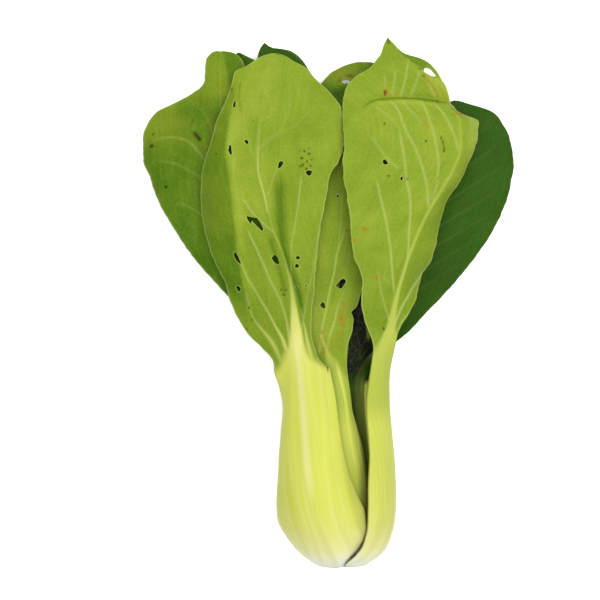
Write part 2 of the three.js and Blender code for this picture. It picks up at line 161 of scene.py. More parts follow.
floor_height = curve([(78, 6.5), (NECK_STATION, 6.5), (105, 4.5), (125, 2.4), (145, 1.3), (240, 0.9)])
floor_rise = curve([(78, 16), (NECK_STATION, 11), (105, 6), (140, 3.5), (240, 3)])
rib_thickness = curve([
    (NECK_STATION - 10, 4.6), (105, 3.4), (125, 2.5), (150, 1.9), (180, 1.5), (240, 1.1),
])
rib_width = curve([(NECK_STATION - 10, 6), (105, 4), (125, 2.8), (150, 2.2), (240, 1.6)])

ORDINARY_STALK = [
    (0, 50), (14, 54), (24, 50), (34, 46), (47, 39), (61, 33), (75, 29), (NECK_STATION, 25), (110, 25),
]
blade_shape = curve([
    (0, 0.24), (0.06, 0.33), (0.16, 0.52), (0.3, 0.77), (0.45, 0.94), (0.6, 1), (0.74, 0.96),
    (0.85, 0.82), (0.93, 0.6), (0.975, 0.37), (1, 0),
])

# How far to each side of the midrib an ordinary leaf is pale.
ORDINARY_PALE = [
    (0, 60), (72, 60), (84, 9), (92, 5), (100, 3), (112, 1.6), (130, 1), (170, 0.5), (240, 0.2),
]

# How strongly the midrib of an ordinary leaf shows pale.
ORDINARY_RIB = [(0, 1), (112, 1), (130, 0.75), (150, 0.6), (175, 0.5), (210, 0.2), (240, 0)]

# The leaves, oldest first, with the frame's measures. Added to them: how dark the back of the blade
# is (tone), how far the pale stalk runs up the midrib (pale) and how strongly it shows there
# (rib_shows), the height of the midrib's swelling (rib), how strongly the veins show (veins), the
# mesh's rows and columns, and the number of ordinary side veins on each side.
LEAVES = [
    dict(
        name="leaf_right", turn=0, stalk=7, tuck=(1, 1), face=1, tip=238, depth=0, layer=0,
        tone=0.27, rows=330, columns=140, side_veins=0, veins=1,
        bearing=[(0, 0), (34, 0), (52, -3), (74, -11), (90, -17), (105, -20)],
        stalk_left=[(0, 70), (5, 57), (11, 48), (20, 44), (34, 44), (52, 38), (74, 31), (90, 20), (105, 15)],
        middle=[(80, 22), (97, 23), (106, 23.6), (119, 26), (130, 29), (139, 32.2), (151, 37), (161, 42.2),
                (169, 47.2), (179, 52.9), (189, 56), (200, 55.5), (207, 49), (214, 41), (222, 32),
                (230, 26.5), (238, 23)],
        left=[(80, 8), (97, 7), (101, 7.9), (106, 10.1), (112.5, 13.1), (119, 15.4), (127, 16.9),
              (130, 18.2), (133.7, 21), (138, 24.5), (142, 26.6), (153, 32), (164, 39.6), (173, 46.7),
              (178, 49.9), (187, 52.8), (200, 53), (207, 46.5), (214, 37.2), (220, 25.5), (224, 15.5),
              (227.3, 10.4), (230, 6.8), (235, 3), (238, 0)],
        right=[(80, 3), (97, 3), (103, 3.2), (108, 4.7), (112.5, 7.1), (117, 8.6), (120.6, 9.6), (126, 9.5),
               (130.5, 9.4), (134.5, 10.4), (138, 11), (142.6, 10.9), (148.5, 10.1), (153, 8.8), (160, 7.2),
               (166.5, 6), (173, 6.3), (181, 6.4), (184.5, 6.8), (189, 7.5), (192, 8.4), (197, 9.2),
               (201.4, 10.2), (202.6, 9.4), (203.7, 6.9), (205.6, 3.8), (208, 4.2), (212.4, 8),
               (218.3, 12.2), (222.8, 14.1), (226, 13.4), (228.2, 11.3), (229.6, 8), (231, 4.2),
               (234, 2.4), (238, 0)],
        pale=[(0, 60), (88, 60), (94, 9), (99, 5.5), (104, 3.2), (108, 1.8), (112, 1.4), (118, 1.1),
              (125, 0.8), (138, 0.6), (150, 0.75), (175, 0.75), (190, 0.6), (206, 0.5), (210, 0.2),
              (240, 0.1)],
    ),
    dict(
        name="leaf_under", turn=-35.5, stalk=7, tuck=(4.5, 1), face=-1, tip=224, width=36, depth=0, layer=0,
        tone=0.95, rows=170, columns=56, side_veins=7,
        bearing=[(0, 0), (60, 0), (90, 3), (105, 6)],
        middle=[(80, -2), (105, -7), (130, -16), (165, -26), (224, -32)],
    ),
    dict(
        name="leaf_front", turn=7, stalk=7, tuck=(1, 6), face=1, tip=231.3, depth=0.06, layer=3.02,
        tone=0.27, rows=335, columns=146, side_veins=0,
        bearing=[(0, -8), (16, -13), (29, -20), (45, -27), (65, -34), (79, -39), (96, -44)],
        stalk_left=[(0, 62), (7, 72), (16, 70), (25, 61), (34, 52), (47, 47), (61, 48), (75, 43), (90, 31),
                    (105, 28)],
        stalk_right=[(0, 20), (7, 39), (16, 55), (25, 55), (34, 48), (47, 40.5), (61, 38), (75, 37),
                     (90, 33), (105, 32)],
        wing=[(70, 0), (75, 0.8), (81, 2.4), (87, 4.2), (91, 3.3), (95, 1.3), (99, 0)],
        middle=[(80, -16), (96, -17.6), (106, -18.5), (119, -19.8), (128, -21.2), (139, -23.9), (151, -28.8),
                (164, -32), (180, -35.6), (196, -35), (214, -32.4), (231.3, -28.5)],
        left=[(80, 9), (90, 10), (97, 17.6), (106, 23), (119, 28.4), (128, 30), (139, 32.5), (151, 31.5),
              (164, 30.5), (173, 27.5), (187, 23.5), (205, 19), (214, 16.4), (220.5, 16), (223.3, 15.6),
              (225.3, 11.5), (228, 8), (230, 4.6), (231.3, 0)],
        right=[(80, 13), (89.5, 13.3), (90.5, 9.3), (91.4, 5.6), (94.5, 5.6), (97, 6.2), (103.5, 6.6),
               (108, 7.1), (115, 8.1), (121.5, 9.8), (128, 11.3), (135, 13.4), (143, 16.8), (151, 21.2),
               (157.5, 24.1), (164, 27), (173, 30.8), (178, 33.6), (181, 36.3), (190, 38.6), (198, 38.4),
               (206, 35.6), (213, 29.4), (219, 22), (224, 16.8), (227.5, 9.5), (230, 5), (231.3, 0)],
        pale=[(0, 60), (76, 60), (84, 22), (90, 11), (96, 5), (101, 3.2), (106, 2.4), (112, 1.7), (119, 1),
              (126, 0.6), (140, 0.4), (240, 0.1)],
        rib_shows=[(0, 1), (110, 1), (119, 0.7), (132, 0.3), (158, 0.2), (168, 0.55), (178, 0.55), (200, 0.2),
                   (240, 0)],
    ),
    dict(
        name="leaf_under_right", turn=-4, stalk=6, tuck=(3, 1), face=-1, tip=212, width=36, depth=7.02,
        layer=3.10, tone=0.95, rows=190, columns=70, side_veins=7,
        bearing=[(0, 0), (50, 2), (90, 16), (105, 22)],
        stalk_left=[(0, 50), (14, 54), (24, 50), (34, 46), (47, 40), (61, 36), (75, 35), (90, 35), (110, 32)],
        middle=[(80, 12), (105, 18), (130, 28), (165, 43), (212, 56)],
    ),
    dict(
        name="leaf_left", turn=-4, stalk=5.6, tuck=(3, 6), face=1, tip=234, depth=4.78, layer=9.50,
        tone=0.68, rows=250, columns=110, side_veins=0,
        bearing=[(0, 0), (50, 2), (75, 14), (90, 24), (105, 30)],
        middle=[(80, -20), (97, -24), (110, -29), (125, -36), (145, -44), (170, -51), (205, -53),
                (234, -53.5)],
        left=[(80, 5), (97, 6), (110, 10), (122, 16), (134.6, 22), (144.5, 26), (161.6, 31), (175, 34.5),
              (185, 37.4), (194, 37.6), (201, 35), (206.6, 30.5), (210, 23), (214, 15), (220, 7.6),
              (230, 6.6), (233, 4), (234, 0)],
        right=[(80, 6), (97, 7), (110, 12), (125, 18), (145, 24), (170, 28), (195, 25), (212, 16),
               (222, 12.5), (228, 11), (231.5, 8.5), (233.2, 5), (234, 0)],
    ),
    dict(
        name="leaf_between", turn=-12, stalk=5, tuck=(1.5, 1.5), face=1, tip=228.5, depth=11.15, layer=12.24,
        tone=0.40, rows=270, columns=104, side_veins=0,
        bearing=[(0, 0), (20, -1), (37, -3), (50, -12), (63, -20), (72, -25), (90, -40), (105, -42)],
        stalk_right=[(0, 50), (14, 52), (24, 50), (34, 48), (50, 46), (56, 43), (63, 34), (72, 27),
                     (84, 29), (105, 30)],
        middle=[(80, -1.5), (90, -4), (97, -6), (104, -6.8), (119, -4.3), (141, 0.5), (170, 3), (200, 7),
                (228.5, 13)],
        left=[(80, 10), (97, 8), (106, 9), (119, 12), (130, 17), (150, 25), (175, 30), (198, 28), (210, 23),
              (218, 18), (223, 14.5), (226.5, 9), (228, 4), (228.5, 0)],
        right=[(80, 6), (90, 8.4), (97, 10.6), (106.6, 13.9), (110.5, 14), (112.6, 12.8), (113.9, 12.1),
               (115.2, 13.3), (117, 14.2), (124, 14.6), (131, 15.2), (145, 19), (165, 24), (182, 25),
               (200, 21), (214, 15), (223, 10), (227, 6.5), (228.1, 3), (228.5, 0)],
        pale=[(0, 60), (77, 60), (84, 14), (88, 6), (93, 2), (98, 0.7), (104, 0.3), (240, 0.1)],
        rib=0.3, veins=0.8,
    ),
    dict(
        name="leaf_under_middle", turn=-8, stalk=4.6, tuck=(1.5, 1.5), face=-1, tip=238.5, depth=12.68,
        layer=5.95, tone=0.9, rows=170, columns=60, side_veins=7,
        middle=[(80, 2), (110, 1), (150, -8), (200, -22), (238.5, -33)],
        left=[(80, 7), (97, 9), (110, 14), (125, 21), (145, 27), (165, 29), (185, 26), (205, 19), (220, 11),
              (230, 6), (236, 2.6), (238.5, 0)],
        right=[(80, 7), (97, 9), (110, 14), (125, 22), (145, 29), (165, 31), (185, 29), (205, 23.5),
               (216, 20), (225, 17), (231, 14.5), (235, 10.5), (236, 3), (238.5, 0)],
    ),
    dict(
        name="leaf_front_inner", turn=-6, stalk=4.2, tuck=(1.2, 1.2), face=1, tip=234, width=21,
        depth=15.07, layer=15.61, tone=0.9, rows=150, columns=50, side_veins=6,
        middle=[(80, -8), (110, -14), (150, -26), (190, -37), (234, -45)],
    ),
    dict(
        name="leaf_right_inner", turn=-14, stalk=3.8, tuck=(1.2, 1.2), face=1, tip=210, width=23,
        depth=16.02, layer=14.85, tone=1.0, rows=180, columns=60, side_veins=6,
        bearing=[(0, 0), (45, -8), (70, -20), (90, -30), (105, -34)],
        middle=[(80, 11), (110, 16), (150, 24), (210, 32)],
        pale=[(0, 60), (30, 60), (38, 6), (46, 0.1), (60, 0.02), (240, 0.02)], rib=0.4,
    ),
    dict(
        name="heart_leaf_left", turn=0, stalk=3.2, tuck=(1, 1), face=-1, tip=182, width=20, depth=18.48,
        layer=8.67, tone=0.1, rows=120, columns=36, side_veins=5,
        middle=[(80, -6), (110, -12), (182, -18)],
    ),
    dict(
        name="heart_leaf_right", turn=20, stalk=2.8, tuck=(1, 1), face=1, tip=162, width=15, depth=19.94,
        layer=17.92, tone=0.1, rows=110, columns=34, side_veins=5,
        middle=[(80, 3), (110, 5), (162, 7)],
    ),
]

# Veins on the blades: half-width, strength at the first and at the last point, and the path as
# (x, station) points from the stalk outwards.
VEINS = {
    "leaf_front": [
        (0.55, 0.7, 1.0, [(-20.2, 84), (-20.6, 92), (-21.1, 99), (-22.3, 108), (-24.3, 115.6), (-27, 122.4),
                          (-30.2, 128.3), (-32.9, 135), (-36, 141.8), (-38.3, 146.3), (-40.5, 151.6)]),
        (0.55, 1.0, 0.9, [(-19.8, 84), (-21.2, 92), (-23.4, 99), (-24.8, 102.6), (-27.9, 108), (-31, 113.9),
                          (-33.8, 118.4), (-36.9, 123.8), (-40.5, 129.2), (-42.3, 133.7), (-44.1, 138.2)]),
        (0.45, 0.7, 0.4, [(-23.6, 87), (-25, 91.5), (-28.4, 99), (-31.5, 103.5), (-34.6, 107.1),
                          (-37.8, 111.6), (-39.6, 117), (-41, 123.8)]),
        (0.5, 0.8, 0.9, [(-28.8, 149.8), (-32.4, 153), (-36, 156.2), (-39.2, 160.2), (-42.8, 165.2)]),
        (0.45, 1.0, 0.2, [(-31.2, 158), (-33.3, 168), (-35.6, 177.8), (-36.4, 188), (-35.4, 200)]),
        (0.4, 0.7, 0.4, [(-31, 166.5), (-29.7, 171), (-28.4, 175.5), (-27, 178.7)]),
        (0.5, 0.3, 0.9, [(-19.6, 120), (-20.3, 128), (-20.7, 136.4), (-20.7, 141.8), (-19.8, 148.5),
                         (-18.5, 155.3), (-17.6, 162), (-16.7, 168.8), (-16.2, 175.5)]),
        (0.5, 0.9, 0.3, [(-8.8, 84), (-10, 89.5), (-11.2, 92.4), (-13.2, 100), (-14.4, 106.4), (-15.3, 111.1),
                         (-16, 116)]),
        (0.4, 0.5, 0.3, [(-15.8, 106), (-14.2, 117), (-12, 128), (-9.6, 140), (-8.4, 152)]),
        (0.35, 0.35, 0.2, [(-34.8, 200), (-29.3, 204), (-30.2, 208), (-32.4, 216)]),
        (0.35, 0.35, 0.2, [(-35.4, 187), (-25, 197), (-21.2, 208), (-21.2, 218)]),
        (0.35, 0.35, 0.2, [(-35.6, 180), (-40, 191), (-42, 203), (-41, 213)]),
        (0.35, 0.3, 0.2, [(-36, 187), (-32, 192), (-20.3, 197), (-11, 206)]),
    ],
    "leaf_right": [
        (0.45, 1.0, 0.8, [(23.4, 105.8), (24.3, 112.5), (25.7, 118.4), (26.6, 121.5), (27.9, 126),
                          (30.2, 132.8), (31.5, 139.5), (32, 146.3), (32.4, 153), (32.9, 159.8),
                          (32.4, 166.5), (31.1, 173.3), (30.6, 177.8), (29.7, 184.5), (28.4, 191.3),
                          (27.9, 196.7)]),
        (0.75, 1.0, 0.7, [(24.3, 103.5), (25.2, 108), (27, 112.5), (29.3, 117), (32, 121.5), (34.7, 126),
                          (37.4, 129.6), (39.2, 132.8)]),
        (0.35, 0.6, 0.3, [(26.6, 105.8), (29.7, 111.2), (32, 113.4)]),
        (0.4, 0.6, 0.8, [(54.9, 186.8), (53.1, 192.6), (50.4, 198.9), (47.3, 203.9), (44.1, 207)]),
        (0.45, 0.8, 0.8, [(41.9, 162.9), (43.2, 166.5), (44.6, 171), (45.5, 176.9), (45.5, 182.3),
                          (44.6, 189), (42.8, 195.8), (41, 201.2), (39.2, 206.1), (37.4, 208.8)]),
        (0.35, 0.3, 0.5, [(37.8, 198.5), (35.6, 201.6), (32, 205.2), (29.3, 208.8)]),
        (0.45, 0.8, 0.8, [(41, 161), (40.5, 168.8), (39.6, 173.3), (37.8, 180), (35.6, 185.9), (32.9, 191.3),
                          (30.2, 196.2), (28.8, 200.3), (27, 204.8), (23.9, 208.4)]),
        (0.35, 0.3, 0.5, [(28.4, 195.8), (25.2, 199.4), (21.2, 203), (17.1, 206.1)]),
        (0.35, 0.6, 0.4, [(27.5, 178), (21.6, 183.2), (18.5, 187.7), (14.9, 192.6)]),
        (0.4, 0.8, 0.8, [(25.2, 122.9), (24.8, 128.3), (24.3, 135), (23.9, 140.9), (23, 147.6), (22.1, 153),
                         (21.2, 157.5), (19.8, 162.9), (18.5, 168.8), (17.6, 173.3)]),
        (0.35, 0.5, 0.3, [(23, 110.3), (21.6, 114.8), (19.4, 123.8), (17.6, 132.8)]),
        (0.4, 0.7, 0.6, [(28.4, 210.6), (30.2, 216), (31.5, 222.8), (32.4, 228.2)]),
        (0.4, 0.6, 0.6, [(32.9, 211), (36, 218.3), (37.4, 222.8)]),
        (0.4, 0.5, 0.5, [(44.6, 211.5), (41.9, 216.9)]),
        (0.4, 0.5, 0.5, [(24.8, 211.5), (26.6, 222.8)]),
        (0.35, 0.4, 0.4, [(21.6, 213.8), (21.6, 220.5)]),
    ],
    "leaf_between": [
        (0.45, 1.0, 0.5, [(-8.2, 94.7), (-7.9, 97.6), (-7.1, 105.2), (-5.9, 110.5), (-4.1, 118.1),
                          (-2.4, 126.9), (-0.9, 132.8), (-0.5, 138.2), (0.5, 141.8), (2.3, 146.3),
                          (4.1, 153)]),
        (0.35, 0.7, 0.4, [(-5, 93), (-3.6, 102.3), (-1.2, 109.3), (0.5, 116.4), (3.5, 124)]),
    ],
    "leaf_left": [
        (0.4, 0.5, 0.6, [(-60, 182.9), (-63.3, 187.2), (-67, 191.5), (-71.9, 194), (-76.2, 194.5),
                         (-83.3, 194.2)]),
        (0.35, 0.3, 0.3, [(-55, 160), (-60, 172), (-66, 178), (-74, 182), (-82, 184)]),
        (0.35, 0.3, 0.3, [(-50, 140), (-56, 152), (-64, 160), (-72, 164)]),
        (0.35, 0.3, 0.3, [(-55, 190), (-58, 200), (-62, 207), (-66, 211)]),
    ],
}

# A shallow dent on leaf_front, left of its midrib.
DENT_PATH = [(-30.1, 146), (-27.4, 137), (-25.6, 130.5), (-23.9, 123)]
DENT_HALF_WIDTH = 1.3
DENT_DEPTH = 0.45

# Holes eaten by insects. A short one is its centre's x and station, half-length, half-width and the
# angle of its length in degrees from +X. A longer list is the hole's outline.
HOLES = {
    "leaf_front": [
        [(-40.9, 157.1), (-37.8, 156.4), (-36, 156.2), (-34.7, 154.4), (-33.1, 151), (-33.8, 150.3),
         (-36.5, 153), (-38.3, 155), (-38.9, 153.5), (-40.1, 155.3)],
        (-27.6, 137.4, 2.3, 1.2, -62), (-46.5, 208, 1.7, 0.55, 80), (-48.3, 187.3, 2.3, 0.7, 96),
        (-40.8, 190.8, 1.1, 0.7, -50), (-25.5, 180.3, 1.8, 0.9, 65), (-12.6, 176.4, 1.35, 1.2, 0),
        (-45, 138.2, 2.9, 0.8, -62), (-17.6, 138.2, 0.9, 0.75, 0), (-18, 134.5, 0.9, 0.85, 0),
        (-44.3, 124.4, 1.4, 0.8, -60), (-14, 125.6, 0.5, 0.35, 0), (-18, 125.1, 0.5, 0.3, 0),
    ],
    "leaf_right": [
        (21.4, 180.9, 1.35, 0.9, -50), (28.8, 173.7, 1.1, 0.5, 90), (41.85, 222.3, 3, 1.2, -32),
    ],
    "leaf_between": [
        [(-0.5, 126), (0.5, 126.9), (1.8, 128.3), (2.7, 128.9), (3.8, 128.5), (4.1, 127.4), (2.9, 125.6),
         (2, 124.3), (0.9, 124.7), (-0.2, 125.3)],
        (-6.3, 116.8, 1.4, 1.0, -60), (0.45, 166.5, 0.5, 0.5, 0), (4.9, 219, 2.4, 0.85, -8),
    ],
}

# Brown spots, and a few dark marks of painted shade: centre x and station, half-width across and along the
# head, strength.
SPOTS = {
    "leaf_front": [
        (-15.8, 183.2, 0.45, 0.4, 1), (-13.6, 181.5, 0.42, 0.5, 1), (-16.6, 179.6, 0.4, 0.42, 1),
        (-12.4, 184.9, 0.42, 0.42, 1), (-14.8, 186.2, 0.42, 0.42, 1), (-12, 179.6, 0.42, 0.42, 1),
        (-15.2, 180.2, 0.4, 0.5, 1), (-13.9, 178, 0.4, 0.5, 0.9), (-12.6, 187.4, 0.4, 0.4, 0.8),
        (-16.8, 186.4, 0.4, 0.4, 0.8), (-11.4, 182.4, 0.4, 0.4, 0.8),
        (-23, 123.8, 0.4, 0.4, 0.8), (-25.2, 123.8, 0.4, 0.4, 0.8), (-23.9, 121.5, 0.4, 0.4, 0.7),
        (-39.6, 115.7, 0.42, 0.42, 0.8), (-38.3, 110.3, 0.4, 0.42, 0.7), (-40.5, 106.2, 0.4, 0.4, 0.7),
        # The marks at (-7.4, 88.4) and (-4.4, 89) are painted shade in the notch where leaf_front's margin
        # meets leaf_between.
        (-54.9, 185.7, 0.42, 0.42, 0.7), (-7.4, 88.4, 0.5, 0.5, 1.0), (-4.4, 89, 0.4, 1.1, 0.9),
        (-38, 200, 0.42, 0.42, 0.5), (-47.6, 215, 0.4, 1.0, 0.6), (0, 161, 0.4, 0.4, 0.8),
    ],
    "leaf_right": [
        (21, 198, 0.45, 0.45, 1), (39.8, 190.6, 0.45, 0.45, 1), (23, 174.8, 0.42, 0.42, 0.8),
        (31.5, 173.3, 0.42, 0.42, 0.8), (20.3, 106.7, 0.42, 0.5, 0.8), (23.2, 236.6, 1.0, 1.4, 0.6),
        (21.6, 212.4, 0.45, 1.2, 0.7), (37.4, 224, 1.2, 0.5, 0.7), (39.2, 220.6, 0.7, 0.5, 0.6),
        (45.4, 208.9, 0.42, 0.7, 0.8), (52.4, 205.6, 0.9, 0.42, 0.6),
    ],
    "leaf_between": [
        (4.5, 150.8, 0.45, 0.45, 0.7), (6, 222, 2.2, 0.8, 0.45), (1.5, 219.5, 1.2, 0.8, 0.4),
        (2.3, 176, 0.35, 0.35, 0.5),
    ],
    "leaf_left": [
        # The mark at (-85.7, 191) is an insect hole painted dark: painted shade, as seen through the hole.
        (-85.1, 196.6, 0.45, 0.45, 1), (-85.7, 191, 1.1, 0.8, 1), (-78.8, 171.5, 0.65, 0.65, 1),
        (-66.4, 202, 0.42, 1.4, 0.6),
    ],
}

# Rusty or yellowed patches, in the same way.
RUST = {
    "leaf_front": [
        (-43.8, 215, 0.5, 1.6, 0.35), (-30, 172, 3, 6, 0.1), (-6, 134, 1.8, 2.4, 0.3),
        (-9.5, 120, 1.6, 2.4, 0.3),
    ],
    "leaf_right": [
        (21.8, 212.4, 0.8, 1.7, 1.0), (40, 198, 2.2, 2.6, 0.3), (12.2, 150.8, 1.1, 1.2, 0.9),
        (7.7, 145.8, 0.6, 0.7, 0.9), (17.6, 129.6, 0.5, 1.1, 0.9), (55.4, 203.4, 1.8, 0.7, 0.9),
    ],
    "leaf_between": [
        (2.1, 110.7, 1.5, 3.6, 0.6), (3.3, 117, 1.5, 2.6, 0.4), (1.8, 103.5, 1.3, 2.4, 0.3),
        (1.9, 111, 0.8, 1.4, 0.75), (1.4, 98, 1.4, 2.2, 0.3), (-6.8, 104.4, 0.6, 1.2, 0.7),
        (-7.5, 99.9, 0.5, 1.6, 0.7), (-5.8, 95.9, 0.5, 1.6, 0.5), (4, 222, 9, 4, 0.18),
        (-3, 99.5, 1.8, 3, 0.22), (-11.4, 108, 0.5, 1.6, 0.4),
    ],
    "leaf_left": [
        (-80.5, 201, 5, 6, 0.08), (-53.3, 216.1, 0.7, 0.7, 0.5), (-59.4, 201, 0.5, 0.5, 0.4),
    ],
}

# Rusty lines and dark lines: half-width, strength and path. Most dark lines are damage; two are painted
# shade, as marked below.
RUST_LINES = {
    "leaf_right": [
        (0.6, 0.6, [(39.6, 221.4), (42.5, 216.8), (45.9, 211.5)]),
        (0.6, 0.45, [(46.4, 216), (48.4, 212.4), (50, 209.3)]),
    ],
}
DARK_LINES = {
    "leaf_right": [
        (0.35, 0.9, [(46.8, 192.6), (47.9, 189.6), (48.2, 185.9)]),
        # Painted shade along a crease.
        (0.22, 0.45, [(48.2, 182), (45, 173.3), (41.9, 162.9)]),
    ],
    "leaf_front": [(0.2, 0.4, [(-43.8, 218), (-44.2, 211), (-43.6, 205)])],
    # An insect hole painted dark: painted shade, as seen through the hole.
    "leaf_left": [(0.9, 1.0, [(-65.3, 196.2), (-64.1, 194.8), (-62.9, 193.3)])],
}


# Places in the head

def bundle_scale(station):
    return bundle_half_width(np.minimum(station, BULB_STATION)) / BULB_RADIUS


def bundle_point(station, bearing, depth):
    step = 0.25
    slope = (bundle_half_width(station + step) - bundle_half_width(station)) / step
    inward = depth * bundle_scale(station) / np.hypot(1, slope)
    flatness = bundle_half_height(station) / bundle_half_width(station)
    radius = bundle_half_width(station) - inward
    turn = np.radians(bearing)
    return np.stack([
        bundle_centre_x(station) + radius * np.sin(turn),
        station + inward * slope,
        bundle_centre_height(station) + radius * flatness * np.cos(turn),
    ], axis=-1)


def stack_height(face, station, x, depth):
    across = np.minimum(np.abs(x) / BLADE_SPAN, 1)
    if face > 0:
        return top_height(station) - top_drop(station) * across ** 2.3 - depth
    return floor_height(station) + floor_rise(station) * across ** 2.6 + depth


def ripple(leaf, station, side):
    phase = 2 * math.pi * station / RIPPLE_LENGTH + 2.1 * leaf["rank"] + np.where(side < 0, 1.4, 0)
    height = RIPPLE_HEIGHT * leaf["stalk"] / 7
    return height * side ** 4 * np.sin(phase) * smooth_step(105, 140, station)


crease_x = curve([
    (119, -40.5), (128, -42.3), (136, -43.7), (144, -45), (151, -45.5), (160, -46.4), (169, -47.7),
    (178, -48.8), (186, -50), (196, -49), (205, -47.7), (213, -45.6), (224, -43),
])
groove_x = curve([
    (106, -14.2), (115, -15.5), (124, -17.3), (130.5, -19.5), (137, -21.8), (144, -23.6), (151, -24.6),
    (157.5, -25.1), (175, -25.6),
])
groove_half_width = curve([(106, 0.9), (124, 1.1), (144, 1.5), (157, 2), (175, 2.3)])


def fold_station(x):
    return 209.0 - 0.005 * (x - 31) ** 2 - 0.05 * np.maximum(18 - x, 0) ** 2


def front_form(station, x, side):
    """The upper left bends away along a crease, and a groove runs beside the midrib."""
    away = -0.02 * np.maximum(crease_x(station) - x, 0) ** 2 * smooth_step(100, 125, station)
    groove = -1.6 * hump(x - groove_x(station), groove_half_width(station))
    return away + groove * smooth_step(104, 135, station) * smooth_step(182, 166, station)


def left_form(station, x, side):
    """The margin sags towards the surface."""
    return -0.006 * np.maximum(-50 - x, 0) ** 2


def right_form(station, x, side):
    """The blade is folded across near its tip, and its right half bends down over the side."""
    past = station - fold_station(x)
    raised = 3.9 * smooth_step(150, 205, station) * smooth_step(1.5, 0.2, past)
    dip = -0.8 * hump(past - 1.9, 1.2)
    over = -8 * side ** 2 * smooth_step(108, 135, station) * smooth_step(209, 203, station)
    return (raised + dip) * smooth_step(6, 24, x) + np.where(side > 0, over, 0)


FORMS = {"leaf_front": front_form, "leaf_left": left_form, "leaf_right": right_form}


def prepare(leaf, rank):
    leaf = dict(leaf)
    leaf["rank"] = rank
    leaf["home"] = FIRST_BEARING + DIVERGENCE * rank + leaf["turn"]
    leaf["lean"] = curve(leaf.get("bearing", [(0, 0), (240, 0)]))
    leaf["middle_at"] = curve(leaf["middle"])
    shares = [k / 20 for k in range(21)]
    ordinary = curve([
        (mix(NECK_STATION, leaf["tip"], s), leaf.get("width", 0) * float(blade_shape(s))) for s in shares
    ])
    leaf["left_at"] = curve(leaf["left"]) if "left" in leaf else ordinary
    leaf["right_at"] = curve(leaf["right"]) if "right" in leaf else ordinary
    leaf["stalk_left_at"] = curve(leaf.get("stalk_left", ORDINARY_STALK))
    leaf["stalk_right_at"] = curve(leaf.get("stalk_right", ORDINARY_STALK))
    leaf["wing_at"] = curve(leaf.get("wing", [(0, 0), (240, 0)]))
    leaf["pale_at"] = curve(leaf.get("pale", ORDINARY_PALE))
    leaf["form"] = FORMS.get(leaf["name"], lambda station, x, side: np.zeros(np.shape(x)))
    return leaf


def half_angle(leaf, station, side):
    return np.where(side < 0, leaf["stalk_left_at"](station), leaf["stalk_right_at"](station))


def blade_half_width(leaf, station, across):
    """Half-width of the blade towards the side that across points to, with a fine uneven outline."""
    width = np.where(across < 0, leaf["left_at"](station), leaf["right_at"](station))
    seed = 10 * leaf["rank"]
    uneven = 0.2 * wobble(seed, station, np.where(across < 0, 40, 0), 11)
    uneven = uneven + 0.13 * wobble(seed + 1, station, np.where(across < 0, 40, 0), 4.5)
    return width + uneven * np.minimum(width / 12, 1) * smooth_step(100, 112, station)


def blade_x(leaf, station, side):
    across = leaf["face"] * side
    return leaf["middle_at"](station) + across * blade_half_width(leaf, station, across)


def blade_side(leaf, station, x):
    """The opposite of blade_x: how far between the margins a place on the blade is."""
    offset = x - leaf["middle_at"](station)
    return leaf["face"] * offset / np.maximum(blade_half_width(leaf, station, offset), 0.05)


def stalk_depths(leaf, side):
    tuck = np.where(side < 0, leaf["tuck"][0], leaf["tuck"][1])
    outer = leaf["depth"] + tuck * side ** 2
    return outer, outer + STALK_EDGE + (leaf["stalk"] - STALK_EDGE) * (1 - side ** 2)


def steepness(leaf, station, side):
    """How much deeper than its thickness a blade is where it slopes, measured straight down."""
    places = []
    heights = []
    for end in (np.maximum(side - 0.02, -1), np.minimum(side + 0.02, 1)):
        x = blade_x(leaf, station, end)
        depth = -leaf["form"](station, x, end) - ripple(leaf, station, end)
        places.append(x)
        heights.append(stack_height(leaf["face"], station, x, depth))
    slope = (heights[1] - heights[0]) / np.maximum(np.abs(places[1] - places[0]), 0.05)
    return np.hypot(1, np.clip(slope, -2, 2))


def blade_depths(leaf, station, x, side):
    from_rib = (x - leaf["middle_at"](station)) / rib_width(station)
    thin = 0.4 + 0.6 * smooth_step(leaf["tip"], leaf["tip"] - 60, station)
    height = leaf.get("rib", 1) * leaf["stalk"] / 7
    rib = np.maximum(rib_thickness(station) - BLADE_THICKNESS, 0) * thin * height
    bump = rib * hump(from_rib, 1)
    outer = leaf["layer"] - 0.6 * bump - leaf["form"](station, x, side) - ripple(leaf, station, side)
    return outer, outer + (BLADE_THICKNESS + bump) * steepness(leaf, station, side)


def leaf_points(leaf, station, side):
    """Points of the outer and the inner face."""
    share = smooth_step(BLEND_START, BLEND_END, station)[..., None]
    bearing = leaf["home"] + leaf["lean"](station) + side * half_angle(leaf, station, side)
    x = blade_x(leaf, station, side)
    faces = []
    for stalk_depth, blade_depth in zip(stalk_depths(leaf, side), blade_depths(leaf, station, x, side)):
        stalk = bundle_point(station, bearing, stalk_depth)
        height = stack_height(leaf["face"], station, x, blade_depth)
        blade = np.stack([x, station + np.zeros_like(x), height], axis=-1)
        points = mix(stalk, blade, share)
        points[..., 0] -= leaf["wing_at"](station) * np.maximum(-side, 0) ** 3
        faces.append(points)
    return faces


# Veins, holes and spots

def distance_to_path(x, y, points):
    """Distance from each place to a path, and how far along it the nearest point is, 0 to 1."""
    best = np.full(np.shape(x), 1e9)
    along = np.zeros(np.shape(x))
    lengths = [math.dist(a, b) for a, b in zip(points, points[1:])]
    whole = sum(lengths)
    walked = 0.0
    for (a, b), length in zip(zip(points, points[1:]), lengths):
        dx, dy = b[0] - a[0], b[1] - a[1]
        t = np.clip(((x - a[0]) * dx + (y - a[1]) * dy) / length ** 2, 0, 1)
        distance = np.hypot(x - a[0] - t * dx, y - a[1] - t * dy)
        nearer = distance < best
        best = np.where(nearer, distance, best)
        along = np.where(nearer, (walked + t * length) / whole, along)
        walked += length
    return best, along


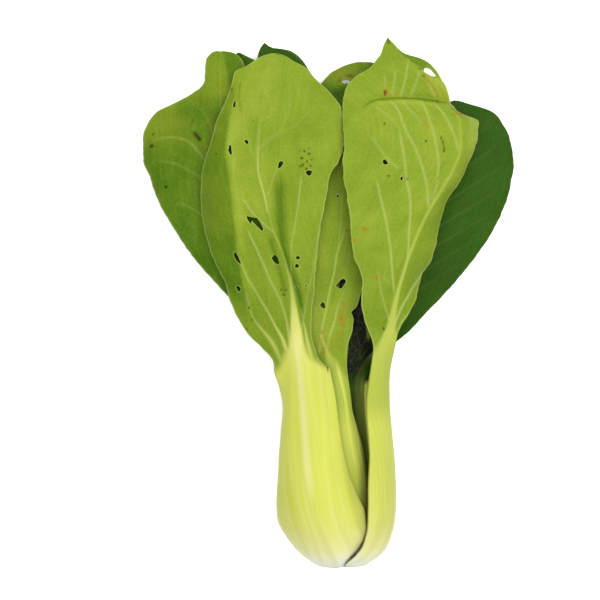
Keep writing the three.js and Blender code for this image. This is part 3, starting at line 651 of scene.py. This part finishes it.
def smooth_path(points, pieces=4):
    """The same path with rounded corners."""
    knots = [0.0]
    for a, b in zip(points, points[1:]):
        knots.append(knots[-1] + math.dist(a, b))
    across = curve([(k, p[0]) for k, p in zip(knots, points)])
    up = curve([(k, p[1]) for k, p in zip(knots, points)])
    stops = np.linspace(0, knots[-1], pieces * (len(points) - 1) + 1)
    return [(float(across(k)), float(up(k))) for k in stops]


def ordinary_veins(leaf):
    """Side veins that leave the midrib in turn and bend towards the tip."""
    paths = []
    count = leaf["side_veins"]
    for k in range(count):
        for hand in (-1, 1):
            start = mix(100, leaf["tip"] - 22, (k + (0.5 if hand > 0 else 0.1)) / count)
            points = []
            for step in range(6):
                station = start + 30 * (step / 5) ** 0.85 * (1 - 0.35 * k / count)
                if station > leaf["tip"] - 5:
                    break
                reach = 0.86 * (step / 5) ** 0.9
                width = float(leaf["left_at"](station) if hand < 0 else leaf["right_at"](station))
                points.append((float(leaf["middle_at"](station)) + hand * reach * width, station))
            if len(points) > 2:
                paths.append((0.6 - 0.25 * k / count, 0.8, 0.2, points))
    return paths


def vein_shares(leaf, x, y):
    """How strongly a vein shows at each place, and how pale the foot of a vein makes it."""
    strength = np.zeros(np.shape(x))
    pale = np.zeros(np.shape(x))
    for width, first, last, points in VEINS.get(leaf["name"], []) + ordinary_veins(leaf):
        distance, along = distance_to_path(x, y, smooth_path(points))
        line = hump(distance, np.maximum(width * (1 - 0.3 * along), FINEST_LINE))
        ends = smooth_step(-0.01, 0.04, along) * smooth_step(1.01, 0.94, along)
        strength = np.maximum(strength, mix(first, last, along) * line * mix(0.3, 1, ends))
        foot = hump(distance, 0.35 + 0.8 * smooth_step(112, 94, y))
        pale = np.maximum(pale, 0.75 * first * foot * smooth_step(120, 98, y) * mix(0.2, 1, ends))
    return leaf.get("veins", 0.7) * strength * smooth_step(88, 100, y), leaf.get("veins", 1) * pale


def hole_outline(hole, number):
    if isinstance(hole, list):
        return hole
    centre_x, centre_y, length, width, angle = hole
    c, s = math.cos(math.radians(angle)), math.sin(math.radians(angle))
    outline = []
    for k in range(16):
        turn = 2 * math.pi * k / 16
        ragged = 1 + 0.12 * math.sin(3 * turn + number) + 0.08 * math.sin(5 * turn)
        p, q = length * ragged * math.cos(turn), width * ragged * math.sin(turn)
        outline.append((centre_x + p * c - q * s, centre_y + p * s + q * c))
    return outline


def from_outline(x, y, outline):
    """Distance to a closed outline, less than 0 inside it, and the nearest point on it."""
    best = np.full(np.shape(x), 1e9)
    near_x = np.array(x, float)
    near_y = np.array(y, float)
    inside = np.zeros(np.shape(x), bool)
    for (ax, ay), (bx, by) in zip(outline, outline[1:] + outline[:1]):
        dx, dy = bx - ax, by - ay
        t = np.clip(((x - ax) * dx + (y - ay) * dy) / (dx * dx + dy * dy), 0, 1)
        distance = np.hypot(x - ax - t * dx, y - ay - t * dy)
        nearer = distance < best
        best = np.where(nearer, distance, best)
        near_x = np.where(nearer, ax + t * dx, near_x)
        near_y = np.where(nearer, ay + t * dy, near_y)
        if dy != 0:
            inside ^= ((ay > y) != (by > y)) & (x < ax + (y - ay) / dy * dx)
    return np.where(inside, -best, best), near_x, near_y


def cell_middles(values):
    return (values[:-1, :-1] + values[1:, :-1] + values[:-1, 1:] + values[1:, 1:]) / 4


def cut_holes(leaf, station, side):
    """Bends the grid to the outlines of the leaf's holes. Returns the grid, which of its cells are
    kept, and how far each place is from the nearest hole."""
    keep = np.ones((station.shape[0] - 1, station.shape[1] - 1), bool)
    gap = np.full(station.shape, 99.0)
    for number, hole in enumerate(HOLES.get(leaf["name"], [])):
        outline = hole_outline(hole, number)
        x = blade_x(leaf, station, side)
        inside, _, _ = from_outline(cell_middles(x), cell_middles(station), outline)
        gone = inside < 0
        gone[np.unravel_index(np.argmin(inside), inside.shape)] = True
        keep &= ~gone
        touched = np.zeros(station.shape, int)
        for rows in (slice(0, -1), slice(1, None)):
            for columns in (slice(0, -1), slice(1, None)):
                touched[rows, columns] += gone
        rim = (touched > 0) & (touched < 4)
        distance, near_x, near_y = from_outline(x, station, outline)
        side = np.where(rim, blade_side(leaf, near_y, near_x), side)
        station = np.where(rim, near_y, station)
        gap = np.minimum(gap, np.where(rim, 0, np.abs(distance)))
    return station, side, keep, gap


def lines(table, leaf, x, y):
    """How strongly the leaf's lines of one kind show."""
    strength = np.zeros(np.shape(x))
    for width, most, path in table.get(leaf["name"], []):
        strength = np.maximum(strength, most * hump(distance_to_path(x, y, path)[0], width))
    return strength


def marks(table, leaf, x, y):
    """How strongly the leaf's marks of one kind show. Wide ones fade from their middle outwards."""
    strength = np.zeros(np.shape(x))
    for centre_x, centre_y, across, along, most in table.get(leaf["name"], []):
        radius = np.hypot((x - centre_x) / across, (y - centre_y) / along)
        uneven = radius * (1 + 0.3 * wobble(201, x, y, 2.2) + 0.2 * wobble(203, x, y, 5))
        full = 0.6 if across < 1 else 0.1
        strength = np.maximum(strength, most * smooth_step(1.45, full, uneven))
    return strength


# Meshes

def grid_normals(points):
    along_rows = np.gradient(points, axis=0)
    along_columns = np.gradient(points, axis=1)
    normals = np.cross(along_columns, along_rows)
    return normals / np.maximum(np.linalg.norm(normals, axis=-1, keepdims=True), 1e-9)


def make_object(name, points, faces, slots, attributes):
    mesh = bpy.data.meshes.new(name)
    mesh.from_pydata((points * 0.001).tolist(), [], faces)
    mesh.polygons.foreach_set("material_index", slots)
    mesh.polygons.foreach_set("use_smooth", [True] * len(faces))
    for key, values in attributes.items():
        kind = "FLOAT_VECTOR" if values.ndim == 2 else "FLOAT"
        layer = mesh.attributes.new(key, kind, "POINT")
        layer.data.foreach_set("vector" if values.ndim == 2 else "value", values.astype(float).ravel())
    mesh.update()
    piece = bpy.data.objects.new(name, mesh)
    bpy.context.scene.collection.objects.link(piece)
    return piece


def spread_stations(leaf):
    """Rows of the mesh: wide apart on the smooth stalk, and close on the blade and at its tip."""
    blade_start = 94
    stalk_rows = leaf["rows"] // 5
    stalk = blade_start * np.linspace(0, 1, stalk_rows, endpoint=False) ** 1.1
    share = np.linspace(0, 1, leaf["rows"] - stalk_rows)
    share = mix(share, 1 - (1 - share) ** 1.6, smooth_step(0.7, 1, share))
    return np.concatenate([stalk, mix(blade_start, leaf["tip"] - 0.25, share)])


def leaf_piece(leaf):
    columns = np.linspace(-1, 1, leaf["columns"])
    columns = columns * (0.85 + 0.15 * np.abs(columns))
    station, side = np.meshgrid(spread_stations(leaf), columns, indexing="ij")
    station, side, keep, gap = cut_holes(leaf, station, side)
    outer, inner = leaf_points(leaf, station, side)

    x = blade_x(leaf, station, side)
    seen_x = outer[..., 0].copy()
    on_blade = smooth_step(84, 106, station)
    arc = bundle_half_width(station) * np.radians(side * half_angle(leaf, station, side))
    from_rib = mix(arc, x - leaf["middle_at"](station), on_blade)
    half_width = np.where(side < 0, leaf["left_at"](station), leaf["right_at"](station))
    edge = (1 - np.abs(side)) * mix(np.radians(half_angle(leaf, station, side)) * 25, half_width, on_blade)
    edge = np.minimum(edge, np.maximum(leaf["tip"] - station, 0))
    veins, feet = vein_shares(leaf, seen_x, station)
    rank = leaf["rank"]

    # The blade swells a little between its veins, and its margin is crimped.
    puckers = PUCKER_HEIGHT * wobble(5 + rank, from_rib, station, 16)
    puckers = puckers + 0.07 * wobble(25 + rank, from_rib, station, 6)
    crimp = CRIMP_HEIGHT * wobble(45 + rank, station, np.where(side < 0, 60, 0), 16) * smooth_step(7, 0, edge)
    calm = smooth_step(0.4, 5, np.abs(from_rib))
    relief = (puckers * calm + crimp) * smooth_step(100, 125, station)
    fibres = 0.03 * wobble(65 + rank, 9 * from_rib, 0.15 * station, 16)
    fibres += 0.07 * wobble(85 + rank, 3 * from_rib, 0.12 * station, 22)
    relief += fibres * smooth_step(110, 84, station) * smooth_step(0, 12, station)
    if leaf["name"] == "leaf_front":
        from_dent = distance_to_path(x, station, smooth_path(DENT_PATH))[0]
        relief -= DENT_DEPTH * hump(from_dent, DENT_HALF_WIDTH)
    soft = smooth_step(0.0, 1.5, edge)
    raised = np.maximum(VEIN_HEIGHT * veins, FOOT_HEIGHT * feet) * soft
    outer = outer + grid_normals(outer) * (relief + raised)[..., None]
    inner = inner + grid_normals(inner) * (relief - 0.6 * raised)[..., None]

    # Each corner of the grid twice, outer face first.
    count = station.size
    index = np.arange(count).reshape(station.shape)
    points = np.concatenate([outer.reshape(-1, 3), inner.reshape(-1, 3)])
    points[:, 1] -= BULB_STATION
    points[:, 2] = np.maximum(points[:, 2], 0.02)
    a, b, c, d = index[:-1, :-1][keep], index[:-1, 1:][keep], index[1:, 1:][keep], index[1:, :-1][keep]
    faces = [np.stack([a, b, c, d], 1), np.stack([d, c, b, a], 1) + count]
    slots = [np.zeros(len(a), int), np.ones(len(a), int)]
    padded = np.pad(keep, 1)
    here = padded[1:-1, 1:-1]
    walls = [
        (here & ~padded[:-2, 1:-1], index[:-1, 1:], index[:-1, :-1]),
        (here & ~padded[2:, 1:-1], index[1:, :-1], index[1:, 1:]),
        (here & ~padded[1:-1, :-2], index[:-1, :-1], index[1:, :-1]),
        (here & ~padded[1:-1, 2:], index[1:, 1:], index[:-1, 1:]),
    ]
    for mask, first, second in walls:
        f, s = first[mask], second[mask]
        faces.append(np.stack([f, s, s + count, f + count], 1))
        slots.append(np.zeros(len(f), int))
    faces = np.concatenate(faces)
    slots = np.concatenate(slots)
    used, faces = np.unique(faces, return_inverse=True)
    faces = faces.reshape(-1, 4)

    dark = np.maximum(marks(SPOTS, leaf, seen_x, station), lines(DARK_LINES, leaf, seen_x, station))
    rust = np.maximum(marks(RUST, leaf, seen_x, station), lines(RUST_LINES, leaf, seen_x, station))
    pale = np.maximum(pale_share(leaf, station, from_rib), 0.85 * feet)
    place = np.stack([from_rib + 90 * rank, station, np.zeros_like(station)], -1).reshape(-1, 3)

    def both(values):
        return np.concatenate([values.ravel(), values.ravel()])[used]

    attributes = {
        "leaf_place": np.concatenate([place, place])[used],
        "leaf_vein": both(veins),
        "leaf_edge": both(np.minimum(edge, 1.4 * gap)),
        "leaf_pale": both(pale),
        "leaf_tone_and_painted_light": both(blade_tone_and_painted_light(leaf, station, x, side)),
        "leaf_dull_and_painted_light": both(stalk_dullness_and_painted_light(leaf, station, from_rib)),
        "leaf_spot_and_painted_shade": both(dark),
        "leaf_rust": both(rust),
    }
    return make_object(leaf["name"] + "_look", points[used], faces.tolist(), slots.tolist(), attributes)


def pale_share(leaf, station, from_rib):
    """1 where the leaf is pale stalk, 0 where it is green blade."""
    size = leaf["pale_at"](station)
    soft = curve([(0, 8), (80, 6), (91, 4), (101, 1.3), (110, 0.7), (240, 0.4)])(station)
    soft = np.minimum(soft, 0.9 * size)
    uneven = 1 + 0.14 * wobble(105 + leaf["rank"], 3 * from_rib, station, 40) * smooth_step(104, 94, station)
    strength = curve(leaf.get("rib_shows", ORDINARY_RIB))(station)
    return strength * smooth_step(size + soft, size - soft, np.abs(from_rib) * uneven)


def stalk_dullness_and_painted_light(leaf, station, from_rib):
    """How much greener, above 0, or lighter, below 0, than ordinary the stalk is. Part of it is painted
    light: painted highlights along some stalks, and painted light that offsets shade beside leaf_front.
    """
    name = leaf["name"]
    if name == "leaf_front":
        # Painted highlight along the middle of the stalk; its left flank is a little greener.
        highlight_stripe = hump(from_rib, 2.3) * smooth_step(24, 44, station) * smooth_step(112, 96, station)
        return 0.12 * smooth_step(-4, -20, from_rib) - 0.8 * highlight_stripe
    if name == "leaf_between":
        # Painted highlight in a stripe right of the middle, and painted light on the left side that offsets
        # the shade of leaf_front's margin.
        highlight_stripe = hump(from_rib - 5, 1.6) * smooth_step(40, 60, station)
        low = 0.5 + 0.4 * smooth_step(62, 76, station) - 1.2 * smooth_step(-3, -8, from_rib)
        return low - 0.8 * highlight_stripe
    if name == "leaf_right":
        return 0.3 * smooth_step(20, 50, station) + 0.4 * smooth_step(62, 76, station)
    if name == "leaf_right_inner":
        return 1.0 * smooth_step(26, 40, station)
    return 0.25 + 0 * from_rib


# The right margin of leaf_front, beside which leaf_between is painted lighter to offset the shade that margin
# casts.
front_margin = curve([(90, -8.3), (97, -11.4), (115, -11.1), (128, -9.9), (143, -8), (151, -7.6), (164, -5)])


# On the folded tip of leaf_right: where the rolled dark margin and the paler outer layer begin.
rolled_x = curve([(209, 60), (217, 48), (221, 41.5), (223.4, 38.6), (226.9, 33.6), (231.5, 27.5)])
layer_x = curve([(209, 43.6), (220, 39.6), (223, 40)])


def blade_tone_and_painted_light(leaf, station, x, side):
    """Where the back of a blade lies between the lightest green, 0, and the darkest, 1.2. Besides the leaves'
    own tones it carries painted shade and painted highlights, and above about 1.05 it is painted deep shade.
    """
    rank = leaf["rank"]
    name = leaf["name"]
    tone = leaf["tone"] + 0.04 * wobble(125 + rank, x, station, 45)
    tone = tone + 0.02 * wobble(145 + rank, x, station, 12)
    if name == "leaf_front":
        beyond = crease_x(station) - x
        strength = smooth_step(108, 128, station) * smooth_step(228, 190, station)
        # Painted shade: past the crease the blade is darker where it bends away from the light. Painted
        # highlight: a lighter band along the crease.
        tone = tone + 0.29 * smooth_step(-0.4, 1.5, beyond) * strength
        tone = tone - 0.10 * hump(beyond + 2.2, 2.0) * strength
        tone = tone + 0.13 * smooth_step(165, 120, station) + 0.05 * smooth_step(-22, -6, x)
        # Painted shadow in the groove beside the midrib.
        aside = x - groove_x(station)
        width = groove_half_width(station) * np.where(aside > 0, 0.4, 1.2)
        along = smooth_step(104, 122, station) * smooth_step(180, 166, station)
        tone = tone + 0.36 * hump(aside, width) * along
        # Painted shade in the shallow dent.
        tone = tone + 0.2 * hump(distance_to_path(x, station, DENT_PATH)[0], 1.0)
    if name == "leaf_right":
        past = station - fold_station(x)
        folded = smooth_step(8, 22, x) * smooth_step(52, 42, x)
        right = smooth_step(0.0, 0.3, side)
        tone = tone + 0.03 * right * smooth_step(114, 124, station) * smooth_step(182, 162, station)
        tone = tone - 0.14 * smooth_step(0.2, 0.8, side) * smooth_step(172, 182, station)
        # Painted shadow: a thin dark line just past the fold. Painted highlight: a lighter band on the crease
        # just before it.
        tone = tone + 0.22 * hump(past - 1.1, 0.5) * folded - 0.10 * hump(past + 1.0, 1.0) * folded
        tone = tone + 0.08 * smooth_step(165, 120, station) - 0.04 * smooth_step(185, 205, station)
        tone = tone + 0.08 * smooth_step(1, 3, past)
        tone = tone + 0.3 * smooth_step(0, 0.8, x - rolled_x(station)) * smooth_step(219, 221, station)
        tone = tone - 0.1 * smooth_step(0, 1.2, x - layer_x(station)) * smooth_step(1, 3, past)
    if name == "leaf_between":
        # Painted light: beside leaf_front's right margin leaf_between is made lighter, to offset the shade
        # that margin casts on it.
        beside = hump(x - front_margin(station) - 1, 3.0) * smooth_step(92, 102, station)
        tone = tone - 0.10 * smooth_step(130, 115, station) + 0.12 * smooth_step(196, 208, station)
        tone = tone + 0.35 * hump(station - 214, 3.5) - 0.14 * beside * smooth_step(160, 140, station)
    if name == "leaf_left":
        fold_x = mix(-48.2, -51.8, (station - 217) / 16)
        light = smooth_step(206, 216, station) * smooth_step(fold_x + 0.6, fold_x - 1.2, x)
        tone = tone - 0.22 * light - 0.22 * smooth_step(-66, -80, x) * smooth_step(185, 200, station)
        tone = tone + 0.10 * smooth_step(185, 140, station) - 0.05
    if name == "leaf_right_inner":
        # Painted deep shade in the gap under leaf_right.
        tone = tone + 0.25 * smooth_step(80, 90, station) * smooth_step(140, 125, station)
    if name in ("leaf_under_right", "leaf_under_middle"):
        # Painted deep shade where these leaves lie under leaf_right.
        tone = tone + 0.3 * smooth_step(30, 20, x) * smooth_step(135, 122, station)
    return tone


def root_piece():
    """The cut end of the stem: a low cone with rings and an uneven, browned face."""
    profile = [(0, 0.5), (3, 0.35), (6, 0.15), (9, 0.1), (10.4, 0.25), (11, 0.9), (10.1, 2.6), (8.6, 5),
               (6.8, 7.6), (4.8, 9.8), (2.2, 11.2), (0, 11.6)]
    knots = np.linspace(0, 1, len(profile))
    radius_at = curve([(k, p[0]) for k, p in zip(knots, profile)])
    height_at = curve([(k, p[1]) for k, p in zip(knots, profile)])
    share = np.linspace(0.002, 0.998, 90)
    turn = np.linspace(0, 2 * math.pi, 121)[:-1]
    share, turn = np.meshgrid(share, turn, indexing="ij")
    radius = radius_at(share)
    uneven = 0.25 * wobble(301, 9 * np.cos(turn) * share, 9 * np.sin(turn) * share, 4)
    radius = radius * (1 + 0.012 * np.sin(5 * turn) + 0.008 * np.sin(11 * turn + 1))
    face = smooth_step(0.42, 0.3, share)
    height = height_at(share) + uneven * face * 0.6 + 0.12 * np.sin(radius * 3.1) * face
    points = np.stack([
        ROOT_X + radius * np.sin(turn),
        np.maximum(height, 0) - BULB_STATION + 0.05,
        AXIS_HEIGHT + radius * np.cos(turn),
    ], -1)
    rows, columns = share.shape
    index = np.arange(rows * columns).reshape(rows, columns)
    after = np.roll(index, -1, axis=1)
    faces = np.stack([index[:-1], index[1:], after[1:], after[:-1]], -1).reshape(-1, 4).tolist()
    faces.append(index[0].tolist())
    faces.append(index[-1][::-1].tolist())
    place = np.stack([radius * np.cos(turn), radius * np.sin(turn), height], -1).reshape(-1, 3)
    attributes = {"root_place": place, "root_face": face.ravel()}
    return make_object("root_stub_look", points.reshape(-1, 3), faces, [0] * len(faces), attributes)


# Materials

def shown(red, green, blue):
    """The base colour that this scene's light shows as the picture colour given, 0 to 255."""
    values = []
    for value in (red, green, blue):
        value = value / 255
        linear = value / 12.92 if value <= 0.04045 else ((value + 0.055) / 1.055) ** 2.4
        values.append(max(linear / TOTAL_LIGHT - GLOSS_SHARE, DARKEST))
    return (*values, 1.0)


class Shade:
    """A few short ways to add nodes to one material."""

    def __init__(self, name, roughness):
        self.material = bpy.data.materials.new(name)
        self.material.use_nodes = True
        self.tree = self.material.node_tree
        self.shader = self.tree.nodes["Principled BSDF"]
        self.shader.inputs["Roughness"].default_value = roughness

    def node(self, kind, settings=None, inputs=None):
        node = self.tree.nodes.new(kind)
        for key, value in (settings or {}).items():
            setattr(node, key, value)
        for key, value in (inputs or {}).items():
            if isinstance(value, bpy.types.NodeSocket):
                self.tree.links.new(value, node.inputs[key])
            else:
                node.inputs[key].default_value = value
        return node

    def attribute(self, name, output="Fac"):
        return self.node("ShaderNodeAttribute", {"attribute_name": name}).outputs[output]

    def math(self, operation, a, b=0.0):
        return self.node("ShaderNodeMath", {"operation": operation}, {0: a, 1: b}).outputs[0]

    def blend(self, share, first, second):
        node = self.node("ShaderNodeMix", {"data_type": "RGBA"})
        for socket, value in ((node.inputs[0], share), (node.inputs[6], first), (node.inputs[7], second)):
            if isinstance(value, bpy.types.NodeSocket):
                self.tree.links.new(value, socket)
            else:
                socket.default_value = value
        return node.outputs[2]

    def between(self, value, low, high, start=0.0, end=1.0):
        node = self.node("ShaderNodeMapRange", {"interpolation_type": "SMOOTHSTEP"}, {
            "Value": value, "From Min": low, "From Max": high, "To Min": start, "To Max": end,
        })
        return node.outputs[0]

    def ramp(self, value, full, stops):
        """Colours at stops along a value that runs from 0 to full. A stop is its value and its shown
        red, green and blue."""
        node = self.node("ShaderNodeValToRGB", None, {0: self.math("DIVIDE", value, full)})
        elements = node.color_ramp.elements
        for element, (position, *colour) in zip(elements, (stops[0], stops[-1])):
            element.position = position / full
            element.color = shown(*colour)
        for position, *colour in stops[1:-1]:
            elements.new(position / full).color = shown(*colour)
        return node.outputs[0]

    def stretched(self, vector, factors):
        return self.node("ShaderNodeMapping", None, {"Vector": vector, "Scale": factors}).outputs[0]

    def noise(self, vector, scale, detail=3.0, roughness=0.5):
        node = self.node("ShaderNodeTexNoise", None, {
            "Vector": vector, "Scale": scale, "Detail": detail, "Roughness": roughness,
        })
        return node.outputs["Fac"]

    def net(self, vector, scale):
        node = self.node("ShaderNodeTexVoronoi", {"feature": "DISTANCE_TO_EDGE"}, {
            "Vector": vector, "Scale": scale, "Randomness": 0.9,
        })
        return node.outputs["Distance"]

    def bump(self, height, distance, strength, normal=None):
        inputs = {"Height": height, "Distance": distance, "Strength": strength}
        if normal is not None:
            inputs["Normal"] = normal
        return self.node("ShaderNodeBump", None, inputs).outputs[0]

    def link(self, socket, name):
        self.tree.links.new(socket, self.shader.inputs[name])


def leaf_material(name, greens, stalk_colours, roughness, net_strength, line_contrast):
    shade = Shade(name, roughness)
    place = shade.attribute("leaf_place", "Vector")
    vein_share = shade.attribute("leaf_vein")
    pale = shade.attribute("leaf_pale")
    dull = shade.attribute("leaf_dull_and_painted_light")
    edge = shade.attribute("leaf_edge")
    along = shade.node("ShaderNodeSeparateXYZ", None, {0: place}).outputs[1]

    # The blade: a green by tone, cloudy, with a fine net of veins.
    cloud = shade.noise(place, 0.06, 4.0)
    speckle = shade.noise(place, 0.9, 4.0, 0.65)
    streak = shade.noise(shade.stretched(place, (0.7, 0.06, 0.0)), 1.0, 3.0)
    tone = shade.math("ADD", shade.attribute("leaf_tone_and_painted_light"), shade.between(cloud, 0.3, 0.7, -0.05, 0.05))
    tone = shade.math("ADD", tone, shade.between(speckle, 0.3, 0.7, -0.05, 0.05))
    tone = shade.math("ADD", tone, shade.between(streak, 0.3, 0.7, -0.03, 0.03))
    blade = shade.ramp(tone, 1.2, greens)
    light_line = shade.blend(line_contrast, blade, shown(205, 215, 130))
    bent = shade.node("ShaderNodeTexNoise", None, {"Vector": place, "Scale": 0.35, "Detail": 2.0})
    offset = shade.node("ShaderNodeVectorMath", {"operation": "MULTIPLY_ADD"}, {
        0: bent.outputs["Color"], 1: (2.6, 2.6, 0.0), 2: place,
    }).outputs[0]
    flat = shade.stretched(offset, (1.0, 0.72, 0.0))
    coarse_line = shade.between(shade.net(flat, 0.22), 0.0, 0.06, 1.0, 0.0)
    fine_line = shade.between(shade.net(flat, 0.75), 0.0, 0.10, 1.0, 0.0)
    lines = shade.math("MAXIMUM", coarse_line, shade.math("MULTIPLY", fine_line, 0.6))
    # lit is 0 where the tone is painted deep shade; veins and the pale rim don't show there.
    lit = shade.between(tone, 1.0, 1.15, 1.0, 0.0)
    blade = shade.blend(shade.math("MULTIPLY", lines, net_strength), blade, light_line)
    blade = shade.blend(shade.math("MULTIPLY", vein_share, lit), blade, light_line)
    rim = shade.math("MULTIPLY", shade.between(edge, 0.15, 0.9, 0.55, 0.0), lit)
    blade = shade.blend(rim, blade, light_line)

    # The stalk: cream at the root, then yellow-green, with faint long fibres.
    stalk = shade.ramp(along, 130.0, stalk_colours)
    fibre = shade.noise(shade.stretched(place, (0.75, 0.018, 0.0)), 1.0, 5.0, 0.6)
    broad = shade.noise(shade.stretched(place, (0.16, 0.02, 0.0)), 1.0, 3.0)
    stalk = shade.blend(shade.between(fibre, 0.4, 0.7, 0.0, 0.32), stalk, shown(238, 239, 168))
    stalk = shade.blend(shade.between(broad, 0.4, 0.7, 0.0, 0.24), stalk, shown(186, 198, 72))
    greener = shade.math("MULTIPLY", shade.between(dull, 0.0, 1.0), shade.between(along, 12.0, 34.0))
    stalk = shade.blend(greener, stalk, shown(178, 194, 78))
    # Below 0 the dullness is painted light: the stalk turns to this pale cream for painted highlights and to
    # offset shade.
    stalk = shade.blend(shade.between(dull, 0.0, -1.0), stalk, shown(236, 236, 152))

    whole = shade.blend(pale, blade, stalk)
    rust = shade.math("MULTIPLY", shade.attribute("leaf_rust"), 0.8)
    whole = shade.blend(rust, whole, shown(176, 112, 44))
    # Dark spots and damage, with a few marks of painted shade among them: a crease line, a notch and insect
    # holes painted dark.
    dark = shade.math("MULTIPLY", shade.attribute("leaf_spot_and_painted_shade"), 0.95)
    whole = shade.blend(dark, whole, shown(44, 44, 16))
    shade.link(whole, "Base Color")

    # Relief: the net of veins on the blade, the fibres on the stalk, and a fine grain.
    green = shade.math("SUBTRACT", 1.0, pale)
    blade_relief = shade.math("MULTIPLY", shade.math("MULTIPLY", lines, lit), green)
    stalk_relief = shade.math("MULTIPLY", fibre, pale)
    normal = shade.bump(shade.math("ADD", blade_relief, stalk_relief), 0.00010, 0.5)
    normal = shade.bump(speckle, 0.00010, 0.3, normal)
    shade.link(normal, "Normal")
    rough = shade.between(speckle, 0.3, 0.7, roughness - 0.05, roughness + 0.05)
    rough = shade.math("SUBTRACT", rough, shade.math("MULTIPLY", pale, 0.14))
    shade.link(rough, "Roughness")
    shade.shader.inputs["Specular IOR Level"].default_value = LEAF_GLOSS
    return shade.material


def root_material():
    shade = Shade("root_cut", 0.75)
    place = shade.attribute("root_place", "Vector")
    face = shade.attribute("root_face")
    grain = shade.noise(place, 0.9, 5.0, 0.6)
    patch = shade.noise(place, 0.22, 3.0)
    length = shade.node("ShaderNodeVectorMath", {"operation": "LENGTH"}, {0: place}).outputs["Value"]
    ring = shade.math("SINE", shade.math("ADD", shade.math("MULTIPLY", length, 2.3), grain))
    skin = shade.blend(shade.between(grain, 0.3, 0.7), shown(226, 222, 168), shown(240, 236, 200))
    cut = shade.blend(shade.between(patch, 0.35, 0.65), shown(222, 202, 150), shown(186, 150, 98))
    cut = shade.blend(shade.between(ring, 0.2, 1.0, 0.0, 0.45), cut, shown(236, 226, 188))
    shade.link(shade.blend(face, skin, cut), "Base Color")
    shade.link(shade.bump(grain, 0.0004, 0.5), "Normal")
    shade.shader.inputs["Specular IOR Level"].default_value = ROOT_GLOSS
    return shade.material


# Greens of the back of a blade by tone, greens of its upper side, and the stalk's colours by station.
BACK_GREENS = [
    (0.0, 176, 193, 82), (0.15, 157, 179, 58), (0.27, 143, 167, 48), (0.5, 116, 144, 38),
    # The last stop, near black at 1.2, is painted deep shade in the gaps between the leaves.
    (0.75, 82, 120, 28), (0.95, 60, 98, 13), (1.05, 44, 74, 8), (1.2, 16, 28, 4),
]
UPPER_GREENS = [(0.0, 128, 160, 62), (0.4, 92, 130, 40), (0.8, 62, 104, 16), (1.15, 48, 82, 9)]
STALK_COLOURS = [
    # The first stops, near the root, are lighter than the stalk's own cream: painted light that offsets the
    # shade where the bulb turns down.
    (0, 255, 255, 240), (3, 255, 255, 232), (6, 254, 251, 202), (9, 244, 242, 172),
    (13.5, 236, 235, 148), (20, 225, 226, 116), (30, 218, 223, 98), (60, 222, 228, 92),
    (75, 220, 227, 90), (90, 218, 223, 98), (104, 224, 224, 118), (130, 204, 213, 116),
]
INNER_STALK_COLOURS = [
    (0, 240, 238, 210), (30, 196, 206, 120), (55, 120, 146, 50), (90, 70, 104, 22), (130, 92, 124, 38),
]

leaf_back = leaf_material("leaf_back", BACK_GREENS, STALK_COLOURS, 0.55, 0.08, 0.60)
leaf_upper_side = leaf_material("leaf_upper_side", UPPER_GREENS, INNER_STALK_COLOURS, 0.5, 0.10, 0.14)


# Build the leaves and the root

for rank, measures in enumerate(LEAVES):
    leaf = prepare(measures, rank)
    piece = leaf_piece(leaf)
    piece.data.materials.append(leaf_back)
    piece.data.materials.append(leaf_upper_side)
    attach(piece, "root")
    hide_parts(leaf["name"])

root = root_piece()
root.data.materials.append(root_material())
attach(root, "root")
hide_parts("root_stub")

# The floor, the light and the camera

FLOOR_HALF = 1.5
floor_mesh = bpy.data.meshes.new("floor")
floor_mesh.from_pydata(
    [(-FLOOR_HALF, -FLOOR_HALF, 0), (FLOOR_HALF, -FLOOR_HALF, 0), (FLOOR_HALF, FLOOR_HALF, 0),
     (-FLOOR_HALF, FLOOR_HALF, 0)], [], [(0, 1, 2, 3)],
)
floor = bpy.data.objects.new("floor", floor_mesh)
bpy.context.scene.collection.objects.link(floor)
floor_paint = Shade("floor_paint", 0.9)
floor_paint.shader.inputs["Base Color"].default_value = (0.93, 0.93, 0.925, 1)
floor_paint.shader.inputs["Specular IOR Level"].default_value = 0.0
floor_mesh.materials.append(floor_paint.material)

world = bpy.data.worlds.new("studio")
bpy.context.scene.world = world
world.use_nodes = True
world.node_tree.nodes["Background"].inputs["Color"].default_value = (1, 1, 1, 1)
world.node_tree.nodes["Background"].inputs["Strength"].default_value = WORLD_LIGHT


# Place and size in metres, and power in watts.
SOFTBOXES = {
    "softbox_above": ((0.0, 0.08, 1.3), 1.4, 28.0),
    "softbox_right": ((0.5, 0.4, 1.1), 0.5, 6.0),
}
LIT_PLACE = (0.0, 0.08, 0.0)


def softbox(name, place, size, power):
    light = bpy.data.lights.new(name, "AREA")
    light.shape = "DISK"
    light.size = size
    light.energy = power
    lamp = bpy.data.objects.new(name, light)
    bpy.context.scene.collection.objects.link(lamp)
    lamp.location = place
    aim = np.array(LIT_PLACE) - np.array(place)
    lamp.rotation_euler = (math.atan2(math.hypot(aim[0], aim[1]), -aim[2]), 0, math.atan2(-aim[0], aim[1]))


for name, (place, size, power) in SOFTBOXES.items():
    softbox(name, place, size, power)

camera_data = bpy.data.cameras.new("camera")
SENSOR_WIDTH = 36.0
camera_data.sensor_width = SENSOR_WIDTH
camera_data.lens = SENSOR_WIDTH * (CAMERA_HEIGHT - VIEW_LEVEL) / VIEW_WIDTH
camera_data.clip_start = 0.01
camera = bpy.data.objects.new("camera", camera_data)
bpy.context.scene.collection.objects.link(camera)
camera.location = (VIEW_CENTRE[0] * 0.001, VIEW_CENTRE[1] * 0.001, CAMERA_HEIGHT * 0.001)
bpy.context.scene.camera = camera
bpy.context.scene.view_settings.view_transform = "Standard"
